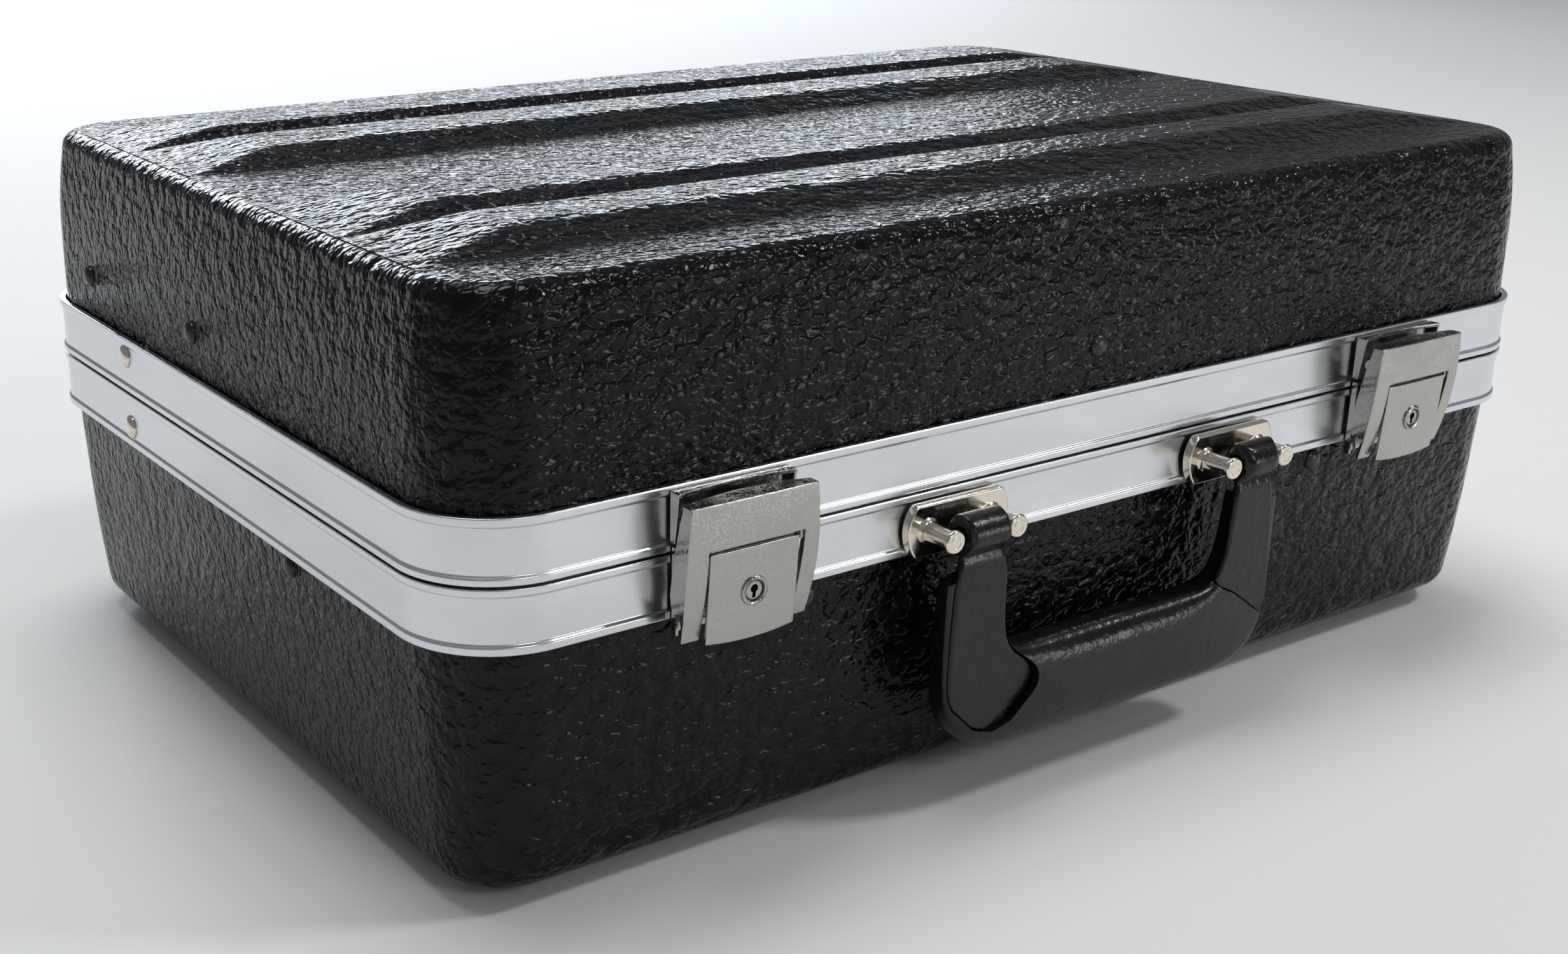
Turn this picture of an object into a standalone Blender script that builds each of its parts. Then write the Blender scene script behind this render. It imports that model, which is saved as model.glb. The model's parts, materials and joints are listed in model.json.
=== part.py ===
"""Attache case: two black thermoformed shells in aluminium edge frames, with two key
latches, a hanging handle, butt hinges and folding lid stays.

Lengths are in millimetres here and become metres in the meshes. X runs along the
front, -Y is the front (latch side) and +Z is up. The origin is under the middle of the
whole object, on the surface that it stands on.
"""
import math

import bmesh
import bpy
from mathutils import Matrix, Vector

MM = 0.001
GAP = 0.3                      # clearance between pieces that touch
RUN = 0.1                      # radial clearance of a pin in its bore

# Case
WIDTH = 460.0                  # over the edge frames, along X
DEPTH = 315.0                  # over the edge frames, along Y
CORNER_R = 30.5                # frame corners, seen from above
SEAM = 102.0                   # height of the parting line
LID_TOP = 78.6                 # flat of the lid above the seam
BASE_FLOOR = 97.0              # flat of the base below the seam
SHELL_T = 3.0
SHELL_INSET = 2.5              # shell face behind the frame's face, at the rim
LID_DRAFT = 1.0                # how far the walls lean in over their height
BASE_DRAFT = 4.6
LID_FILLET = 6.0
BASE_FILLET = 9.0

# Ribs pressed into the lid's top and the base's bottom, in two pairs
RIB_H = 5.0
RIB_FOOT_X = 218.0
RIB_CREST_X = 186.0
RIB_PAIR = (-122.0, -107.0, -85.0, -75.0, -65.0, -43.0, -28.0)

# Edge frames
FRAME_H = 19.3
BEAD_H = 2.4
BEAD_OUT = 0.7
WEB_T = 1.5
SHELF_T = 1.8
CHANNEL_IN = 5.8               # inner wall of the channel that holds a shell's rim
CHANNEL_H = 6.5
LIP_IN = 7.4                   # base frame's lip that stands inside the lid frame
LIP_T = 1.4
LIP_UP = 3.0
RIM = 2.6                      # shell rims stop this far from the seam

# Hinges, on the back
HINGE_X = 140.0
HINGE_W = 44.0
LEAF_T = 1.5
LEAF_H = 16.0
KNUCKLE_R = 3.0
HINGE_PIN_R = 1.5
LEAF_OUT = 0.5                 # leaf's back in front of the frame's face

# Handle, on the front of the base frame
BRACKET_X = 60.0
BRACKET_HALF = 20.0
BRACKET_H = 16.4
BRACKET_T = 3.3
POST_SPREAD = 12.5
POST_R = 3.0
POST_SHANK_R = 1.6             # of its end, through the bracket, the frame and the shell
POST_HEAD_R = 3.6
POST_OUT = 16.0
AXLE_DROP = 11.0               # below the seam
AXLE_OUT = 12.3
AXLE_R = 1.5
BARREL_R = 6.5
BARREL_W = 15.0
ARM_HALF = 10.0
ARM_FRONT = 15.0
ARM_T = 2.9
GRIP_FRONT = 18.0
GRIP_BACK = 1.0
GRIP_TOP = 52.0                # below the seam
GRIP_BOTTOM = 84.0
GRIP_HALF = 72.5
GRIP_BAR_HALF = 46.0           # the bar's fullest part, between the arms' tongues

# Latches, on the front
LATCH_X = 143.0
COVER_HALF = 21.3
COVER_T = 1.2
SLIT_Z = 3.3                   # lower edge of the cover's top band, above the seam
FLAP_HALF = 14.9
SLOT = 0.7
FLAP_T = 1.0
PLATE_HALF = 19.2
PLATE_T = 1.2
COVER_PIVOT = (5.2, -11.0)     # distance out from the frame's face, height from the seam
FLAP_PIVOT = (9.6, 2.6)
LOCK_Z = -11.0
LOCK_R = 4.3

# Lid stays
STAY_Y = 70.0                  # from the case's middle, towards the back
STAY_Z = 12.5                  # above and below the seam
STAY_IN = 10.0
STAY_T = 1.5
STAY_W = 9.0
STAY_PIN_R = 1.5
STAY_SHANK_R = 1.6             # of its rivets, through the frame and the shell
STAY_COLLAR_R = 2.5            # of the shoulder that holds the link off the wall
STAY_COLLAR_IN = 6.6

# Shell rivets
RIVET_R = 3.6
RIVET_LID_Z = 33.0
RIVET_BASE_Z = -25.0

HINGE_OUT = GAP + KNUCKLE_R
SHIFT = (AXLE_OUT + BARREL_R - HINGE_OUT - KNUCKLE_R) / 2.0
FRONT = SHIFT - DEPTH / 2.0
BACK = SHIFT + DEPTH / 2.0

for leftover in list(bpy.data.objects):
    bpy.data.objects.remove(leftover)

case = bpy.data.collections.new("attache_case")
tools = bpy.data.collections.new("cutters")
bpy.context.scene.collection.children.link(case)
bpy.context.scene.collection.children.link(tools)


# ---------------------------------------------------------------- materials
def material(name, colour, roughness, metallic):
    made = bpy.data.materials.new(name)
    made.use_nodes = True
    shader = made.node_tree.nodes["Principled BSDF"]
    shader.inputs["Base Color"].default_value = (*colour, 1.0)
    shader.inputs["Roughness"].default_value = roughness
    shader.inputs["Metallic"].default_value = metallic
    return made


SHELL = material("black_shell", (0.020, 0.020, 0.022), 0.35, 0.0)
ALUMINIUM = material("aluminium", (0.78, 0.79, 0.80), 0.25, 1.0)
CHROME = material("latch_chrome", (0.66, 0.65, 0.62), 0.18, 1.0)
NICKEL = material("nickel", (0.72, 0.68, 0.60), 0.18, 1.0)
GRIP = material("handle_plastic", (0.018, 0.018, 0.019), 0.40, 0.0)
STEEL = material("steel", (0.55, 0.55, 0.55), 0.30, 1.0)
BLACK_RIVET = material("black_rivet", (0.015, 0.015, 0.016), 0.35, 0.0)


# ---------------------------------------------------------------- helpers
def place(item, collection, location, rotation=(0.0, 0.0, 0.0)):
    """Link an object and put it at a location in millimetres."""
    collection.objects.link(item)
    item.location = Vector(location) * MM
    item.rotation_euler = [math.radians(angle) for angle in rotation]
    return item


def finish(item, name, look):
    """Give a piece its node name, its material and smooth round faces."""
    item.name = name
    item.data.materials.clear()
    item.data.materials.append(look)
    if item.type == "MESH":
        item.data.shade_smooth()
        item.data.set_sharp_from_angle(angle=math.radians(35))
    return item


def as_mesh(item):
    """Replace a curve, or an object with modifiers, by its own closed mesh."""
    bpy.context.view_layer.update()
    graph = bpy.context.evaluated_depsgraph_get()
    mesh = bpy.data.meshes.new_from_object(item.evaluated_get(graph))
    work = bmesh.new()
    work.from_mesh(mesh)
    bmesh.ops.remove_doubles(work, verts=work.verts, dist=0.005 * MM)
    work.to_mesh(mesh)
    work.free()
    solid = bpy.data.objects.new(item.name, mesh)
    solid.matrix_world = item.matrix_world.copy()
    for collection in item.users_collection:
        collection.objects.link(solid)
    bpy.data.objects.remove(item)
    return solid


def box(collection, centre, size):
    bpy.ops.mesh.primitive_cube_add(size=1.0)
    item = bpy.context.object
    item.data.transform(Matrix.Diagonal((*(Vector(size) * MM), 1.0)))
    for home in list(item.users_collection):
        home.objects.unlink(item)
    return place(item, collection, centre)


def cylinder(collection, centre, radius, length, axis, sides=16):
    """A cylinder about X, Y or Z."""
    bpy.ops.mesh.primitive_cylinder_add(vertices=sides, radius=radius * MM, depth=length * MM)
    item = bpy.context.object
    turn = {"X": Matrix.Rotation(math.pi / 2, 4, "Y"),
            "Y": Matrix.Rotation(math.pi / 2, 4, "X"),
            "Z": Matrix.Identity(4)}[axis]
    item.data.transform(turn)
    for home in list(item.users_collection):
        home.objects.unlink(item)
    return place(item, collection, centre)


def join(items):
    """Put several meshes in one object, as loose bodies."""
    bpy.context.view_layer.update()
    work = bmesh.new()
    for item in items:
        start = len(work.verts)
        work.from_mesh(item.data)
        work.verts.ensure_lookup_table()
        bmesh.ops.transform(work, matrix=item.matrix_world, verts=work.verts[start:])
    mesh = bpy.data.meshes.new("joined")
    work.to_mesh(mesh)
    work.free()
    joined = bpy.data.objects.new("joined", mesh)
    place(joined, tools, (0.0, 0.0, 0.0))
    for item in items:
        bpy.data.objects.remove(item)
    return joined


def hide(item):
    item.hide_render = True
    item.display_type = "WIRE"


def boolean(target, others, operation):
    """Cut target by others, or unite it with them; the tools move with the target."""
    bpy.context.view_layer.update()
    for index, tool in enumerate(others):
        tool.parent = target
        tool.matrix_parent_inverse = target.matrix_world.inverted()
        tool.name = f"{target.name}_{operation.lower()}_{index}"
        hide(tool)
        step = target.modifiers.new(operation.title(), "BOOLEAN")
        step.operation = operation
        step.object = tool
    return target


def turned(name, look, profile, location, rotation, steps=12):
    """A round piece: (radius, height) pairs, from the top down, about local Z."""
    work = bmesh.new()
    points = [work.verts.new((r * MM, 0.0, h * MM)) for r, h in profile]
    for first, second in zip(points, points[1:]):
        work.edges.new((first, second))
    mesh = bpy.data.meshes.new(name)
    work.to_mesh(mesh)
    work.free()
    item = place(bpy.data.objects.new(name, mesh), case, location, rotation)
    screw = item.modifiers.new("Screw", "SCREW")
    screw.axis = "Z"
    screw.steps = steps
    screw.render_steps = steps
    screw.use_merge_vertices = True
    screw.merge_threshold = 0.00001
    return finish(item, name, look)


def flat(collection, outline, thickness, location, rotation, holes=()):
    """A plate: an outline of (x, y) points, with round holes (x, y, radius)."""
    curve = bpy.data.curves.new("plate", "CURVE")
    curve.dimensions = "2D"
    curve.fill_mode = "BOTH"
    curve.extrude = thickness * MM / 2.0
    loops = [outline] + [arc((x, y), r, 0.0, 360.0, 16)[:-1] for x, y, r in holes]
    for loop in loops:
        spline = curve.splines.new("POLY")
        spline.points.add(len(loop) - 1)
        for point, (x, y) in zip(spline.points, loop):
            point.co = (x * MM, y * MM, 0.0, 1.0)
        spline.use_cyclic_u = True
    return as_mesh(place(bpy.data.objects.new("plate", curve), collection, location, rotation))


def arc(centre, radius, start, end, steps):
    """Points along an arc, angles in degrees."""
    points = []
    for index in range(steps + 1):
        angle = math.radians(start + (end - start) * index / steps)
        points.append((centre[0] + radius * math.cos(angle), centre[1] + radius * math.sin(angle)))
    return points


def rounded_rectangle(inset, corner_steps=6):
    """The frame's plan outline, moved in by inset."""
    half_x = WIDTH / 2.0 - inset
    half_y = DEPTH / 2.0 - inset
    radius = max(CORNER_R - inset, 4.0)
    points = []
    for sign_x, sign_y, start in ((1, 1, 0), (-1, 1, 90), (-1, -1, 180), (1, -1, 270)):
        centre = (sign_x * (half_x - radius), sign_y * (half_y - radius))
        points += arc(centre, radius, start, start + 90, corner_steps)
    return points


def loft(sections, cap):
    """An open skin through (inset, height) sections of the plan outline."""
    work = bmesh.new()
    loops = []
    for inset, height in sections:
        outline = rounded_rectangle(inset)
        loops.append([work.verts.new((x * MM, y * MM, height * MM)) for x, y in outline])
    for lower, upper in zip(loops, loops[1:]):
        for index in range(len(lower)):
            after = (index + 1) % len(lower)
            work.faces.new((lower[index], lower[after], upper[after], upper[index]))
    if cap:
        work.faces.new(loops[-1])
    else:
        for index in range(len(lower)):
            after = (index + 1) % len(lower)
            work.faces.new((upper[index], upper[after], loops[0][after], loops[0][index]))
    bmesh.ops.recalc_face_normals(work, faces=work.faces)
    mesh = bpy.data.meshes.new("loft")
    work.to_mesh(mesh)
    work.free()
    return place(bpy.data.objects.new("loft", mesh), case, (0.0, SHIFT, SEAM))


def drill(target, holes):
    """Cut round holes: (centre, radius, length, axis) each."""
    bits = [cylinder(tools, centre, radius, length, axis, 12) for centre, radius, length, axis in holes]
    return boolean(target, [join(bits)], "DIFFERENCE")


# ---------------------------------------------------------------- places that several pieces share
def side_x(side, inset):
    """X of a plane that lies inset behind the left (-1) or right (+1) face."""
    return side * (WIDTH / 2.0 - inset)


HINGE_RIVETS = [(hinge * HINGE_X + end * HINGE_W / 3.0, level * 11.5)
                for hinge in (-1, 1) for level in (-1, 1) for end in (-1, 1)]
POSTS = [(bracket * BRACKET_X + end * POST_SPREAD) for bracket in (-1, 1) for end in (-1, 1)]
SHELL_RIVETS = [("lid_rivet_left_back", (-1, 105.0), RIVET_LID_Z),
                ("lid_rivet_left_front", (-1, 14.0), RIVET_LID_Z),
                ("lid_rivet_right_back", (1, 105.0), RIVET_LID_Z),
                ("lid_rivet_right_front", (1, 14.0), RIVET_LID_Z),
                ("lid_rivet_front", (0, 0.0), RIVET_LID_Z),
                ("base_rivet_left", (-1, -50.0), RIVET_BASE_Z),
                ("base_rivet_right", (1, -50.0), RIVET_BASE_Z),
                ("base_rivet_front_left", (0, -112.0), RIVET_BASE_Z),
                ("base_rivet_front_right", (0, 112.0), RIVET_BASE_Z)]


def wall_inset(height):
    """How far a shell's outer face is behind the frame's face at a height from the seam."""
    if height > 0:
        return SHELL_INSET + LID_DRAFT * height / LID_TOP
    return SHELL_INSET + BASE_DRAFT * -height / BASE_FLOOR


def rivet_place(rivet):
    """Where a shell rivet meets the shell's face, and the rotation that points it outwards."""
    _, (side, along), height = rivet
    inset = wall_inset(height)
    if side:
        return (side_x(side, inset), SHIFT + along, SEAM + height), (0.0, 90.0 * side, 0.0)
    return (along, FRONT + inset, SEAM + height), (90.0, 0.0, 0.0)


# ---------------------------------------------------------------- shells
def shell_sections(level, depth, draft, fillet):
    """Sections from the rim to the flat; level is +1 for the lid and -1 for the base."""
    sections = [(SHELL_INSET, level * RIM)]
    wall_end = depth - fillet
    sections.append((SHELL_INSET + draft * FRAME_H / depth, level * FRAME_H))
    side = SHELL_INSET + draft * wall_end / depth
    for inset, height in arc((0.0, 0.0), fillet, 0.0, 90.0, 4):
        sections.append((side + fillet - inset, level * (wall_end + height)))
    return sections


def ribs(level, flat_z):
    """Solids of the two rib pairs, hipped at both ends."""
    made = []
    front_foot, front_crest, crest_end, valley, second_crest, second_end, rear_foot = RIB_PAIR
    for mirror in (1, -1):
        for low, crest_low, crest_high, high in ((front_foot, front_crest, crest_end, valley),
                                                 (valley, second_crest, second_end, rear_foot)):
            work = bmesh.new()
            bmesh.ops.create_cube(work, size=2.0)
            for corner in work.verts:
                outer = corner.co.z * level < 0
                reach = RIB_FOOT_X if outer else RIB_CREST_X
                near, far = (low, high) if outer else (crest_low, crest_high)
                across = mirror * (near if corner.co.y * mirror < 0 else far)
                up = flat_z if outer else flat_z + level * RIB_H
                corner.co = (corner.co.x * reach * MM, across * MM, up * MM)
            foot = [face for face in work.faces
                    if all(abs(corner.co.z - flat_z * MM) < MM for corner in face.verts)]
            sunk = bmesh.ops.extrude_face_region(work, geom=foot)
            skirt = [item for item in sunk["geom"] if isinstance(item, bmesh.types.BMVert)]
            bmesh.ops.translate(work, verts=skirt, vec=(0.0, 0.0, -level * SHELL_T / 2.0 * MM))
            bmesh.ops.delete(work, geom=foot, context="FACES_ONLY")
            bmesh.ops.recalc_face_normals(work, faces=work.faces)
            mesh = bpy.data.meshes.new("rib")
            work.to_mesh(mesh)
            work.free()
            made.append(place(bpy.data.objects.new("rib", mesh), tools, (0.0, SHIFT, SEAM)))
    return made


def make_shell(name, level, depth, draft, fillet):
    shell = loft(shell_sections(level, depth, draft, fillet), cap=True)
    shell.name = name
    wall = shell.modifiers.new("Wall", "SOLIDIFY")
    wall.thickness = SHELL_T * MM
    wall.offset = -1.0
    wall.use_even_offset = True
    shell = finish(as_mesh(shell), name, SHELL)
    boolean(shell, ribs(level, level * depth), "UNION")
    holes = []
    for rivet in SHELL_RIVETS:
        if rivet[2] * level > 0:
            spot, turn = rivet_place(rivet)
            holes.append((spot, 1.5 + GAP, 5.0 * SHELL_T, "X" if turn[1] else "Y"))
    for x, height in HINGE_RIVETS:
        if height * level > 0:
            holes.append(((x, BACK - SHELL_INSET, SEAM + height), 1.5 + GAP, 20.0, "Y"))
    if level < 0:
        for x in POSTS:
            holes.append(((x, FRONT + SHELL_INSET, SEAM - AXLE_DROP), POST_SHANK_R + GAP, 20.0, "Y"))
    for side in (-1, 1):
        spot = (side_x(side, SHELL_INSET), SHIFT + STAY_Y, SEAM + level * STAY_Z)
        holes.append((spot, STAY_SHANK_R + GAP, 20.0, "X"))
    return drill(shell, holes)


# ---------------------------------------------------------------- edge frames
def frame_section(level, height, lip):
    """The extrusion's profile as (inset, height from the seam)."""
    edge = 0.4
    inner = CHANNEL_IN + 1.0
    profile = [(0.0, edge), (0.0, edge + BEAD_H - 0.4), (BEAD_OUT, edge + BEAD_H),
               (BEAD_OUT, height - BEAD_H - 0.7), (0.0, height - BEAD_H), (0.0, height - 0.4),
               (0.4, height), (BEAD_OUT + WEB_T, height), (BEAD_OUT + WEB_T, edge + SHELF_T),
               (CHANNEL_IN, edge + SHELF_T), (CHANNEL_IN, CHANNEL_H), (inner, CHANNEL_H)]
    if lip:
        profile += [(inner, edge + SHELF_T), (LIP_IN + LIP_T, edge + SHELF_T),
                    (LIP_IN + LIP_T, -LIP_UP), (LIP_IN, -LIP_UP), (LIP_IN, edge)]
    else:
        profile += [(inner, edge)]
    return [(inset, level * up) for inset, up in profile]


def make_frame(name, level):
    frame = loft(frame_section(level, FRAME_H, lip=level < 0), cap=False)
    frame.name = name
    finish(frame, name, ALUMINIUM)
    holes = []
    for x, height in HINGE_RIVETS:
        if height * level > 0:
            holes.append(((x, BACK, SEAM + height), 1.5 + GAP, 12.0, "Y"))
    if level < 0:
        for x in POSTS:
            holes.append(((x, FRONT, SEAM - AXLE_DROP), POST_SHANK_R + GAP, 12.0, "Y"))
    for side in (-1, 1):
        spot = (side_x(side, 0.0), SHIFT + STAY_Y, SEAM + level * STAY_Z)
        holes.append((spot, STAY_SHANK_R + GAP, 10.0, "X"))
    return drill(frame, holes)


# ---------------------------------------------------------------- rivets
def dome(radius, height, steps=3):
    """Profile points of a domed head, from its crown to its rim."""
    return [(radius * math.sin(math.pi / 2 * k / steps), height * math.cos(math.pi / 2 * k / steps))
            for k in range(steps + 1)]


def rivet_profile(head_r, head_h, shank_r, grip, tail_r):
    """A rivet whose head rests on height 0 and whose shank goes down through grip."""
    head = [(r, h + GAP) for r, h in dome(head_r, head_h)]
    return head + [(shank_r, GAP), (shank_r, -grip - GAP), (tail_r, -grip - GAP),
                   (tail_r, -grip - GAP - 1.0), (0.0, -grip - GAP - 1.0)]


def make_shell_rivets():
    for rivet in SHELL_RIVETS:
        spot, turn = rivet_place(rivet)
        profile = rivet_profile(RIVET_R, 1.6, 1.5, SHELL_T + 0.2, 2.4)
        turned(rivet[0], BLACK_RIVET, profile, spot, turn)


# ---------------------------------------------------------------- hinges
def leaf_outline(level, own):
    """A hinge leaf seen from behind: tabs that reach the knuckles in own, notches elsewhere."""
    third = HINGE_W / 3.0
    outline = [(-HINGE_W / 2.0, LEAF_H), (HINGE_W / 2.0, LEAF_H)]
    for index in (2, 1, 0):
        middle = (index - 1) * third
        inset = GAP if index in own else -GAP
        right = min(middle + third / 2.0 - inset, HINGE_W / 2.0)
        left = max(middle - third / 2.0 + inset, -HINGE_W / 2.0)
        for x in (right, left):
            outline.append((x, 0.0 if index in own else KNUCKLE_R + 0.3 + 0.01 * abs(x)))
    return [(x, level * y) for x, y in outline]


def make_hinge(side, hinge):
    third = HINGE_W / 3.0
    axis = (hinge * HINGE_X, BACK + HINGE_OUT, SEAM)
    bore = cylinder(tools, axis, HINGE_PIN_R + RUN, 2 * HINGE_W, "X")
    for part, level, own in (("base", -1, (0, 2)), ("lid", 1, (1,))):
        name = f"hinge_{side}_leaf_{part}"
        holes = [(end * HINGE_W / 3.0, level * 11.5, 1.5 + GAP) for end in (-1, 1)]
        middle = (hinge * HINGE_X, BACK + LEAF_OUT + LEAF_T / 2.0, SEAM)
        leaf = flat(case, leaf_outline(level, own), LEAF_T, middle, (90.0, 0.0, 0.0), holes)
        finish(leaf, name, NICKEL)
        knuckles = []
        for index in own:
            low = -HINGE_W / 2.0 + index * third + (GAP / 2.0 if index else 0.0)
            high = low + third - (GAP / 2.0 if index != 1 else GAP)
            centre = (axis[0] + (low + high) / 2.0, axis[1], axis[2])
            knuckles.append(cylinder(tools, centre, KNUCKLE_R, high - low, "X"))
        boolean(leaf, knuckles, "UNION")
        own_bore = bore.copy()
        own_bore.data = bore.data.copy()
        tools.objects.link(own_bore)
        boolean(leaf, [own_bore], "DIFFERENCE")
    bpy.data.objects.remove(bore)
    end = HINGE_W / 2.0 + GAP
    profile = [(0.0, end + 1.2), (2.4, end + 1.2), (2.4, end), (HINGE_PIN_R, end),
               (HINGE_PIN_R, -end), (2.4, -end), (2.4, -end - 1.2), (0.0, -end - 1.2)]
    turned(f"hinge_{side}_pin", STEEL, profile, axis, (0.0, 90.0, 0.0), 16)


def make_hinge_rivets():
    for x, height in HINGE_RIVETS:
        grip = LEAF_OUT + LEAF_T + wall_inset(height) + SHELL_T + 0.1
        side = "left" if x < 0 else "right"
        part = "lid" if height > 0 else "base"
        end = "inner" if abs(x) < HINGE_X else "outer"
        spot = (x, BACK + LEAF_OUT + LEAF_T, SEAM + height)
        profile = rivet_profile(2.8, 1.2, 1.5, grip, 2.4)
        turned(f"hinge_{side}_{part}_rivet_{end}", NICKEL, profile, spot, (-90.0, 0.0, 0.0))


# ---------------------------------------------------------------- handle
def bracket_outline():
    """A plate with bowed ends, centred on the axle's height."""
    half_h = BRACKET_H / 2.0
    bulge = 3.2
    radius = (half_h ** 2 + bulge ** 2) / (2.0 * bulge)
    spread = math.degrees(math.asin(half_h / radius))
    centre = BRACKET_HALF - radius
    right = arc((centre, 0.0), radius, -spread, spread, 6)
    return right + [(-x, -y) for x, y in right]


def make_bracket(side, hand):
    x = hand * BRACKET_X
    holes = [(end * POST_SPREAD, 0.0, POST_SHANK_R + GAP) for end in (-1, 1)]
    spot = (x, FRONT - GAP - BRACKET_T / 2.0, SEAM - AXLE_DROP)
    plate = flat(case, bracket_outline(), BRACKET_T, spot, (90.0, 0.0, 0.0), holes)
    finish(plate, f"handle_bracket_{side}", NICKEL)
    inward = wall_inset(-AXLE_DROP - POST_R) + SHELL_T + GAP
    for end, where in ((-1, "left"), (1, "right")):
        seat = GAP + BRACKET_T + GAP
        profile = [(0.0, POST_OUT), (POST_HEAD_R - 0.6, POST_OUT), (POST_HEAD_R, POST_OUT - 0.5),
                   (POST_HEAD_R, POST_OUT - 1.3), (POST_R, POST_OUT - 1.5), (POST_R, seat),
                   (POST_SHANK_R, seat), (POST_SHANK_R, -inward), (3.0, -inward),
                   (3.0, -inward - 1.0),
                   (0.0, -inward - 1.0)]
        at = (x + end * POST_SPREAD, FRONT, SEAM - AXLE_DROP)
        post = turned(f"handle_post_{side}_{where}", NICKEL, profile, at, (90.0, 0.0, 0.0), 14)
        post = finish(as_mesh(post), f"handle_post_{side}_{where}", NICKEL)
        hole = (at[0], FRONT - AXLE_OUT, at[2])
        drill(post, [(hole, AXLE_R + RUN, 4 * POST_R, "X")])
    reach = POST_SPREAD + POST_R - 0.4
    profile = [(0.0, reach), (AXLE_R, reach), (AXLE_R, -reach), (0.0, -reach)]
    axle = (x, FRONT - AXLE_OUT, SEAM - AXLE_DROP)
    turned(f"handle_axle_{side}", STEEL, profile, axle, (0.0, 90.0, 0.0), 16)


def arm_outline(grow):
    """The right arm seen from the front, x from the bracket's middle and y from the seam."""
    top = -AXLE_DROP - 1.0
    neck = 8.4 + grow
    half = ARM_HALF + grow
    tongue = (-6.0, -57.5)
    tongue_r = 20.0 + grow
    outer = [(neck, top), (neck, top - 7.0), (half, top - 10.0), (half + 1.2, -56.0)]
    heel = arc((-2.5, -60.0), 14.0 + grow, 5.0, -80.0, 5)
    toe = arc(tongue, tongue_r, 262.0, 165.0, 7)
    inner = [(-half - 4.5, -46.5 + grow), (-half - 0.8, -38.0), (-half, -30.0),
             (-half, top - 10.0), (-neck, top - 7.0), (-neck, top)]
    return outer + heel + toe + inner


def mirror_outline(outline, hand):
    if hand > 0:
        return outline
    return [(-x, y) for x, y in reversed(outline)]


def make_arm(side, hand):
    x = hand * BRACKET_X
    spot = (x, FRONT - ARM_FRONT + ARM_T / 2.0, SEAM)
    outline = mirror_outline(arm_outline(0.0), hand)
    arm = flat(case, outline, ARM_T, spot, (90.0, 0.0, 0.0))
    finish(arm, f"handle_arm_{side}", GRIP)
    axle = (x, FRONT - AXLE_OUT, SEAM - AXLE_DROP)
    boolean(arm, [cylinder(tools, axle, BARREL_R, BARREL_W, "X", 20)], "UNION")
    return drill(arm, [(axle, AXLE_R + RUN, 2 * BARREL_W, "X")])


def leg_outline(hand):
    """The back part of a handle leg, from under the barrel down into the grip."""
    half = ARM_HALF
    outline = [(half, -AXLE_DROP - BARREL_R - 3.0), (half + 1.6, -58.0), (half - 2.0, -66.0),
               (-half, -66.0), (-half, -AXLE_DROP - BARREL_R - 3.0)]
    return mirror_outline(outline, hand)


def grip_outline():
    """The grip seen from the front: a bar whose ends turn up into the legs."""
    corner = 26.0
    inside = 10.0
    leg_in = BRACKET_X - ARM_HALF
    right = [(leg_in, -GRIP_TOP + inside + 2.0), (GRIP_HALF, -GRIP_TOP + inside + 2.0)]
    right += arc((GRIP_HALF - corner, -GRIP_BOTTOM + corner), corner, 0.0, -90.0, 7)
    left = [(-x, y) for x, y in reversed(right)]
    inner_left = arc((-leg_in + inside, -GRIP_TOP + inside), inside, 180.0, 270.0, 4)
    inner_right = [(-x, y) for x, y in reversed(inner_left)]
    return right + left + inner_left + inner_right


def soften(item, width):
    """Round the item's edges and keep the result as its mesh."""
    bevel = item.modifiers.new("Soften", "BEVEL")
    bevel.width = width * MM
    bevel.segments = 3
    bevel.limit_method = "ANGLE"
    bevel.angle_limit = math.radians(40)
    return as_mesh(item)


def make_grip():
    front = ARM_FRONT + GAP
    middle = (0.0, FRONT - (GRIP_BACK + front) / 2.0, SEAM)
    grip = flat(case, grip_outline(), front - GRIP_BACK, middle, (90.0, 0.0, 0.0))
    grip = finish(soften(grip, 5.0), "handle_grip", GRIP)
    bar_depth = GRIP_FRONT - GRIP_BACK - 1.0
    bar = box(tools, (0.0, FRONT - GRIP_FRONT + bar_depth / 2.0, SEAM - (GRIP_TOP + GRIP_BOTTOM) / 2.0),
              (2.0 * GRIP_BAR_HALF, bar_depth, GRIP_BOTTOM - GRIP_TOP - 2.0))
    legs = [soften(bar, 7.0)]
    pockets = []
    for hand in (-1, 1):
        back = ARM_FRONT - ARM_T - GAP
        spot = (hand * BRACKET_X, FRONT - (back + 8.4) / 2.0, SEAM)
        legs.append(flat(tools, leg_outline(hand), back - 8.4, spot, (90.0, 0.0, 0.0)))
        spot = (hand * BRACKET_X, FRONT - back - 10.0, SEAM)
        outline = mirror_outline(arm_outline(GAP), hand)
        pockets.append(flat(tools, outline, 20.0, spot, (90.0, 0.0, 0.0)))
    boolean(grip, legs, "UNION")
    return boolean(grip, pockets, "DIFFERENCE")


# ---------------------------------------------------------------- latches
def cover_out(height):
    """How far the latch cover's face stands out at a height from the seam."""
    return 13.2 - 0.005 * (height - 10.0) ** 2


def flap_out(height):
    """The same for the flap, which is straighter and stands proud at its bottom."""
    drop = FLAP_PIVOT[1] - height
    return 12.9 - 0.04 * drop - 0.0011 * drop ** 2


def cover_rows(top, bottom, count):
    return [top + (bottom - top) * index / (count - 1) for index in range(count)]


def bowed_half(height):
    """Half the cover's width: its sides bow out at mid height."""
    return COVER_HALF + 1.2 * (1.0 - ((height + 3.0) / 21.0) ** 2)


def wall_back(height):
    """How far out the cover's side walls end at their back edge."""
    return 8.6 - 0.185 * (16.5 - height)


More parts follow.
